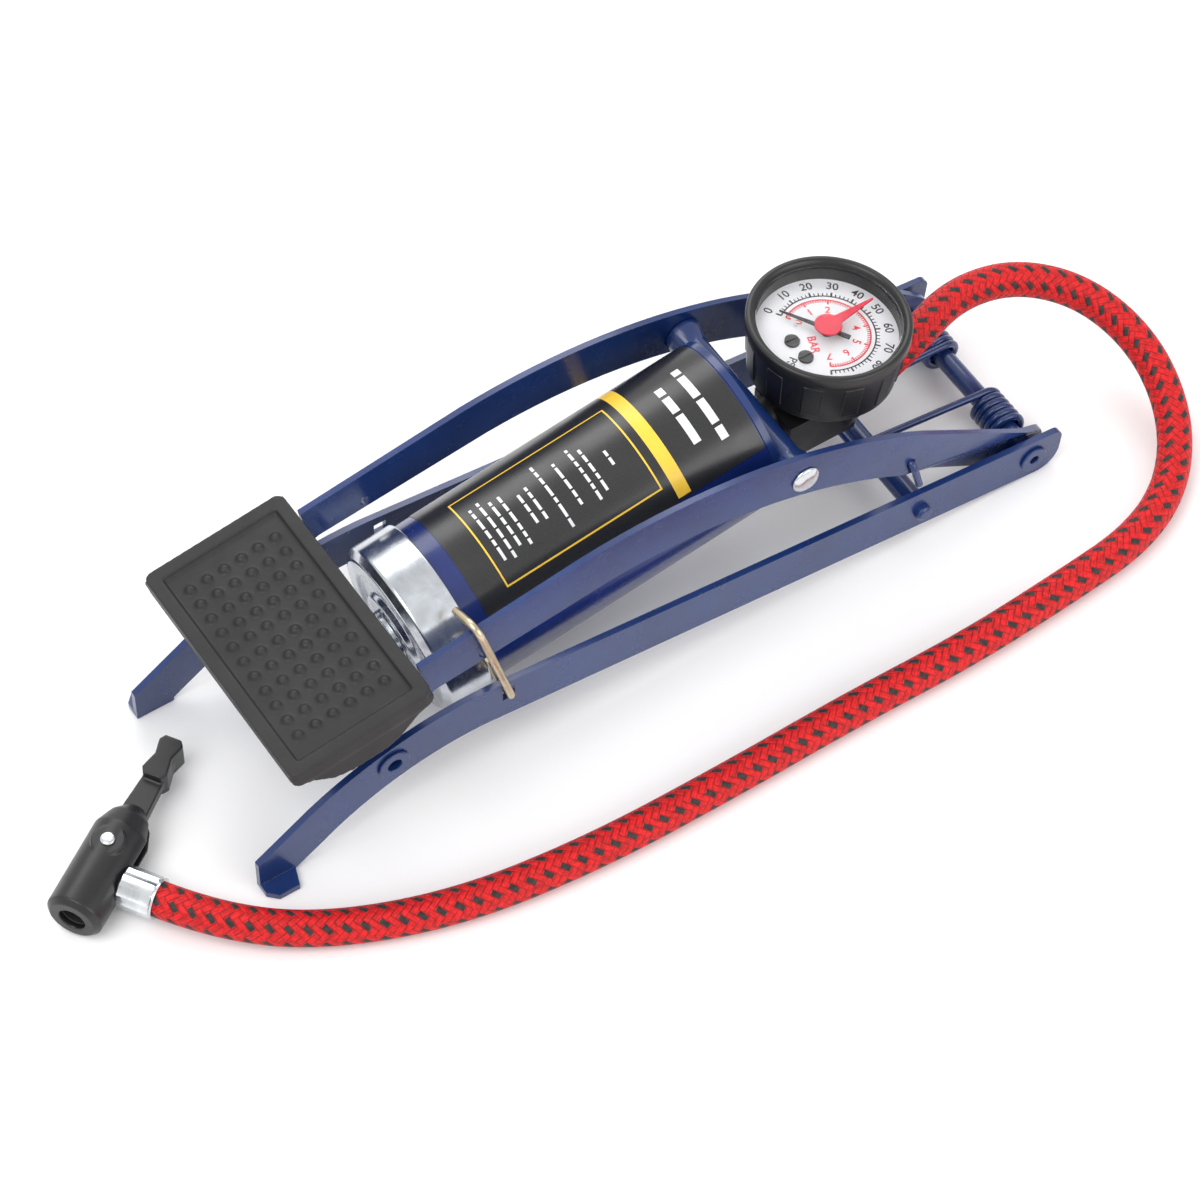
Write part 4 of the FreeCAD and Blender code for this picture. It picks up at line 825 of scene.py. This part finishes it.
def hose_shell(points, radius):
    """The hose's sleeve: a grid rolled round the line of points, with a weave map of turn and length."""
    tangents = [(b - a).normalized() for a, b in zip(points, points[1:])]
    tangents = [tangents[0]] + [(a + b).normalized() for a, b in zip(tangents, tangents[1:])] + [tangents[-1]]
    side, places, travel = tangents[0].orthogonal(), [], [0.0]
    for point, tangent in zip(points, tangents):
        side = (side - tangent * side.dot(tangent)).normalized()
        turned = Matrix((side, tangent.cross(side), tangent)).transposed().to_4x4()
        places.append(Matrix.Translation(point) @ turned)
    for a, b in zip(points, points[1:]):
        travel.append(travel[-1] + (b - a).length)
    bm = bmesh.new()
    weave = bm.loops.layers.uv.new("Weave")
    steps = len(points) - 1
    bmesh.ops.create_grid(bm, x_segments=SPOKES, y_segments=steps, size=0.5)
    cells = {v: (round((v.co.x + 0.5) * SPOKES), round((v.co.y + 0.5) * steps)) for v in bm.verts}
    for face in bm.faces:
        for loop in face.loops:
            around, step = cells[loop.vert]
            loop[weave].uv = (around / SPOKES, travel[step])
    for vert, (around, step) in cells.items():
        turn = math.tau * around / SPOKES
        vert.co = places[step] @ Vector((-radius * math.sin(turn), radius * math.cos(turn), 0.0))
    bmesh.ops.remove_doubles(bm, verts=bm.verts, dist=1e-6)
    return bm


def crimped_sleeve(node, mouth, ahead):
    """The metal sleeve on an end of the hose, pressed to lengthwise flats, with a plain lip at its mouth."""
    radius, long, bore = 6.6, 12.0, 3.6
    bm = spun([(-long, bore), (-long, radius - 0.5), (-long + 0.5, radius), (-1.4, radius), (-1.0, radius - 0.35),
               (-0.6, radius), (-0.15, radius), (0.0, radius - 0.2), (0.0, bore), (-long, bore)],
              Matrix.Identity(4), 72)
    bmesh.ops.recalc_face_normals(bm, faces=bm.faces)
    flats = 12
    rings = [v for v in bm.verts if math.hypot(v.co.y, v.co.z) > (radius - 0.6) * MM and v.co.x < -1.2 * MM]
    for vert in rings:
        turn = math.atan2(vert.co.z, vert.co.y) * flats
        press = 0.5 * (1.0 - math.cos(turn)) ** 0.5
        scale = 1.0 - press * 0.62 / radius
        vert.co.y *= scale
        vert.co.z *= scale
    direction = Vector(ahead) - Vector(mouth)
    side = Vector((0.0, 0.0, 1.0)).cross(direction).normalized()
    bmesh.ops.transform(bm, matrix=along(mouth, direction, side), verts=bm.verts)
    body = frame["nodes"][node]["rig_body"]
    return put(bm, node + ".crimped", "ferrule_zinc", body, [node], 30.0)


class PUMP_OT_hose(bpy.types.Operator):
    """Braided hose from the pump to the chuck, with its crimped sleeves"""
    bl_idname = "pump.hose"
    bl_label = "Hose"

    def execute(self, context):
        points = centre_line()
        hose = put(hose_shell(points, sizes().hose_width / 2), "hose", "hose_braid", None, ["hose_tube"], 60.0)
        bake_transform(hose)
        ends = (("pump_ferrule", HOSE_ROUTE[0], HOSE_ROUTE[1]), ("chuck_ferrule", HOSE_ROUTE[-1], HOSE_ROUTE[-2]))
        sleeves = [crimped_sleeve(*end) for end in ends]
        return {"FINISHED"}


# ------------------------------------------------------------------ chuck and pad

class PUMP_OT_chuck(bpy.types.Operator):
    """Valve chuck with its seal, pin, nipple and thumb lever"""
    bl_idname = "pump.chuck"
    bl_label = "Chuck"

    def execute(self, context):
        moulding(dressed("chuck_body", "black_plastic"), 0.00032, 3)
        dressed("chuck_seal", "seal_rubber", 0.0003)
        dressed("chuck_pin", "zinc_rivet", 0.0003)
        dressed("chuck_nipple", "black_plastic", 0.0004)
        moulding(dressed("chuck_lever", "black_plastic"), 0.00030, 6)
        return {"FINISHED"}


def rounded_slab(low, high, radius, corner_steps=6):
    """A slab in millimetres whose upright corners are rounded."""
    bm = box_bm(low, high)
    upright = [e for e in bm.edges if abs(e.verts[0].co.z - e.verts[1].co.z) > 1e-6]
    bmesh.ops.bevel(bm, geom=upright, offset=radius * MM, affect="EDGES", segments=corner_steps, profile=0.5,
                    material=-1, clamp_overlap=True)
    return bm


def pad_tray(long, half, thick):
    """The pad's slab with a rim about a sunk panel."""
    bm = rounded_slab((-long, -half, -thick), (0.0, half, 0.0), 3.0)
    top = max(bm.faces, key=lambda f: f.calc_center_median().z)
    bmesh.ops.inset_region(bm, faces=[top], thickness=4.4 * MM, depth=0.0)
    bmesh.ops.inset_region(bm, faces=[top], thickness=0.9 * MM, depth=-1.35 * MM)
    return bm


def pad_studs(long):
    """Rows of low domed studs on the panel."""
    parts = []
    for i in range(6):
        for j in range(11):
            x, y = -long / 2 + (i - 2.5) * 6.0, (j - 5) * 6.2
            stud = bmesh.new()
            bmesh.ops.create_uvsphere(stud, u_segments=16, v_segments=10, radius=1.65 * MM)
            bmesh.ops.scale(stud, vec=(1.0, 1.0, 0.72), verts=stud.verts)
            bmesh.ops.translate(stud, verts=stud.verts, vec=(x * MM, y * MM, -1.15 * MM))
            parts.append(stud)
    return parts


def pad_skirt(long, half, side):
    """The skirt that hangs down one side of the pad, over the pedal arm."""
    bm = bmesh.new()
    outline = [(0.0, -2.6), (0.0, -4.4), (-1.5, -6.2), (-6.5, -7.8), (-13.5, -13.2), (-18.5, -14.9),
               (-long + 18.5, -14.9), (-long + 12.5, -13.2), (-long + 6.0, -7.8), (-long + 1.5, -6.2),
               (-long, -4.4), (-long, -2.6)]
    inner = side * (half - 3.0) * MM
    face = bm.faces.new([bm.verts.new((x * MM, inner, z * MM)) for x, z in outline])
    made = bmesh.ops.extrude_face_region(bm, geom=[face])
    moved = [g for g in made["geom"] if isinstance(g, bmesh.types.BMVert)]
    bmesh.ops.translate(bm, verts=moved, vec=(0.0, side * 2.7 * MM, 0.0))
    bmesh.ops.recalc_face_normals(bm, faces=bm.faces)
    return bm


class PUMP_OT_pad(bpy.types.Operator):
    """Rubber pedal pad with its rim, studs and skirts"""
    bl_idname = "pump.pad"
    bl_label = "Pedal pad"

    def execute(self, context):
        long, half, thick = 49.0, 43.3, 6.0
        skirts = [pad_skirt(long, half, side) for side in (-1, 1)]
        whole = joined([pad_tray(long, half, thick), *skirts, *pad_studs(long)])
        bmesh.ops.transform(whole, matrix=PAD_FRAME, verts=whole.verts)
        pad = put(whole, "pad", "pad_rubber", "pedal_frame", ["pedal_pad"], 180.0)
        moulding(pad, 0.0005, 3)
        return {"FINISHED"}


# ------------------------------------------------------------------ stage

CAMERA_AT = (-0.4970, -0.7545, 1.2536)
CAMERA_LOOKS_AT = (-0.01645, -0.0222, 0.030)
CAMERA_ROLL = 0.12
CAMERA_LENS = 148.75


def lamp(name, place, target, size, watts, colour=(1.0, 1.0, 1.0)):
    """A square soft light that looks at target."""
    light = bpy.data.lights.new(name, "AREA")
    light.shape = "RECTANGLE"
    light.size, light.size_y = size
    light.energy = watts
    light.color = colour
    holder = bpy.data.objects.new(name, light)
    bpy.context.scene.collection.objects.link(holder)
    holder.location = place
    holder.rotation_euler = (Vector(target) - Vector(place)).to_track_quat("-Z", "Y").to_euler()


class PUMP_OT_stage(bpy.types.Operator):
    """Pale floor, soft lights and the camera"""
    bl_idname = "pump.stage"
    bl_label = "Floor, light and camera"

    def execute(self, context):
        bm = bmesh.new()
        bmesh.ops.create_grid(bm, x_segments=1, y_segments=1, size=6.0)
        bmesh.ops.translate(bm, verts=bm.verts, vec=(0.0, 0.0, CAD_BOX[0][2] - 0.0002))
        floor = put(bm, "floor", "floor", None)
        lamp("key", (-0.9, -0.2, 1.5), (0, 0, 0.03), (1.0, 1.0), 13.0)
        lamp("fill", (0.6, -1.4, 0.9), (0, 0, 0.03), (1.4, 0.9), 10.0)
        lamp("back", (0.5, 1.3, 1.3), (0, 0, 0.03), (1.4, 0.9), 12.0)
        world = bpy.data.worlds.new("Studio")
        world.use_nodes = True
        world.node_tree.nodes["Background"].inputs["Color"].default_value = (1.0, 1.0, 1.0, 1.0)
        world.node_tree.nodes["Background"].inputs["Strength"].default_value = 0.9
        context.scene.world = world
        context.scene.view_settings.view_transform = "Standard"
        camera = bpy.data.cameras.new("camera")
        camera.lens = CAMERA_LENS
        camera.sensor_width = 36.0
        holder = bpy.data.objects.new("camera", camera)
        context.scene.collection.objects.link(holder)
        aim = Vector(CAMERA_LOOKS_AT) - Vector(CAMERA_AT)
        holder.location = CAMERA_AT
        turn = aim.to_track_quat("-Z", "Y").to_matrix() @ Matrix.Rotation(math.radians(CAMERA_ROLL), 3, "Z")
        holder.rotation_euler = turn.to_euler()
        context.scene.camera = holder
        return {"FINISHED"}


class PUMP_PT_panel(bpy.types.Panel):
    """Lists the pieces of the pump in the order they are made"""
    bl_label = "Foot air pump"
    bl_idname = "PUMP_PT_panel"
    bl_space_type = "VIEW_3D"
    bl_region_type = "UI"
    bl_category = "Foot pump"

    def draw(self, context):
        for operator in OPERATORS:
            self.layout.operator(operator.bl_idname)
        for group in (context.scene.pump_sizes, context.scene.pump_colours):
            for name in group.bl_rna.properties.keys():
                if name not in {"rna_type", "name"}:
                    self.layout.prop(group, name)


OPERATORS = (PUMP_OT_stage, PUMP_OT_chuck, PUMP_OT_hose, PUMP_OT_sheet_frame, PUMP_OT_spring, PUMP_OT_piston,
             PUMP_OT_barrel, PUMP_OT_gauge, PUMP_OT_pad)
CLASSES = (PUMP_PG_sizes, PUMP_PG_colours, *OPERATORS, PUMP_PT_panel)


def register():
    for item in CLASSES:
        bpy.utils.register_class(item)
    bpy.types.Scene.pump_sizes = bpy.props.PointerProperty(type=PUMP_PG_sizes)
    bpy.types.Scene.pump_colours = bpy.props.PointerProperty(type=PUMP_PG_colours)


def unregister():
    del bpy.types.Scene.pump_colours
    del bpy.types.Scene.pump_sizes
    for item in reversed(CLASSES):
        bpy.utils.unregister_class(item)


def main():
    register()
    for operator in OPERATORS:
        group, name = operator.bl_idname.split(".")
        getattr(getattr(bpy.ops, group), name)()
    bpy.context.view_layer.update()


if __name__ == "__main__":
    main()
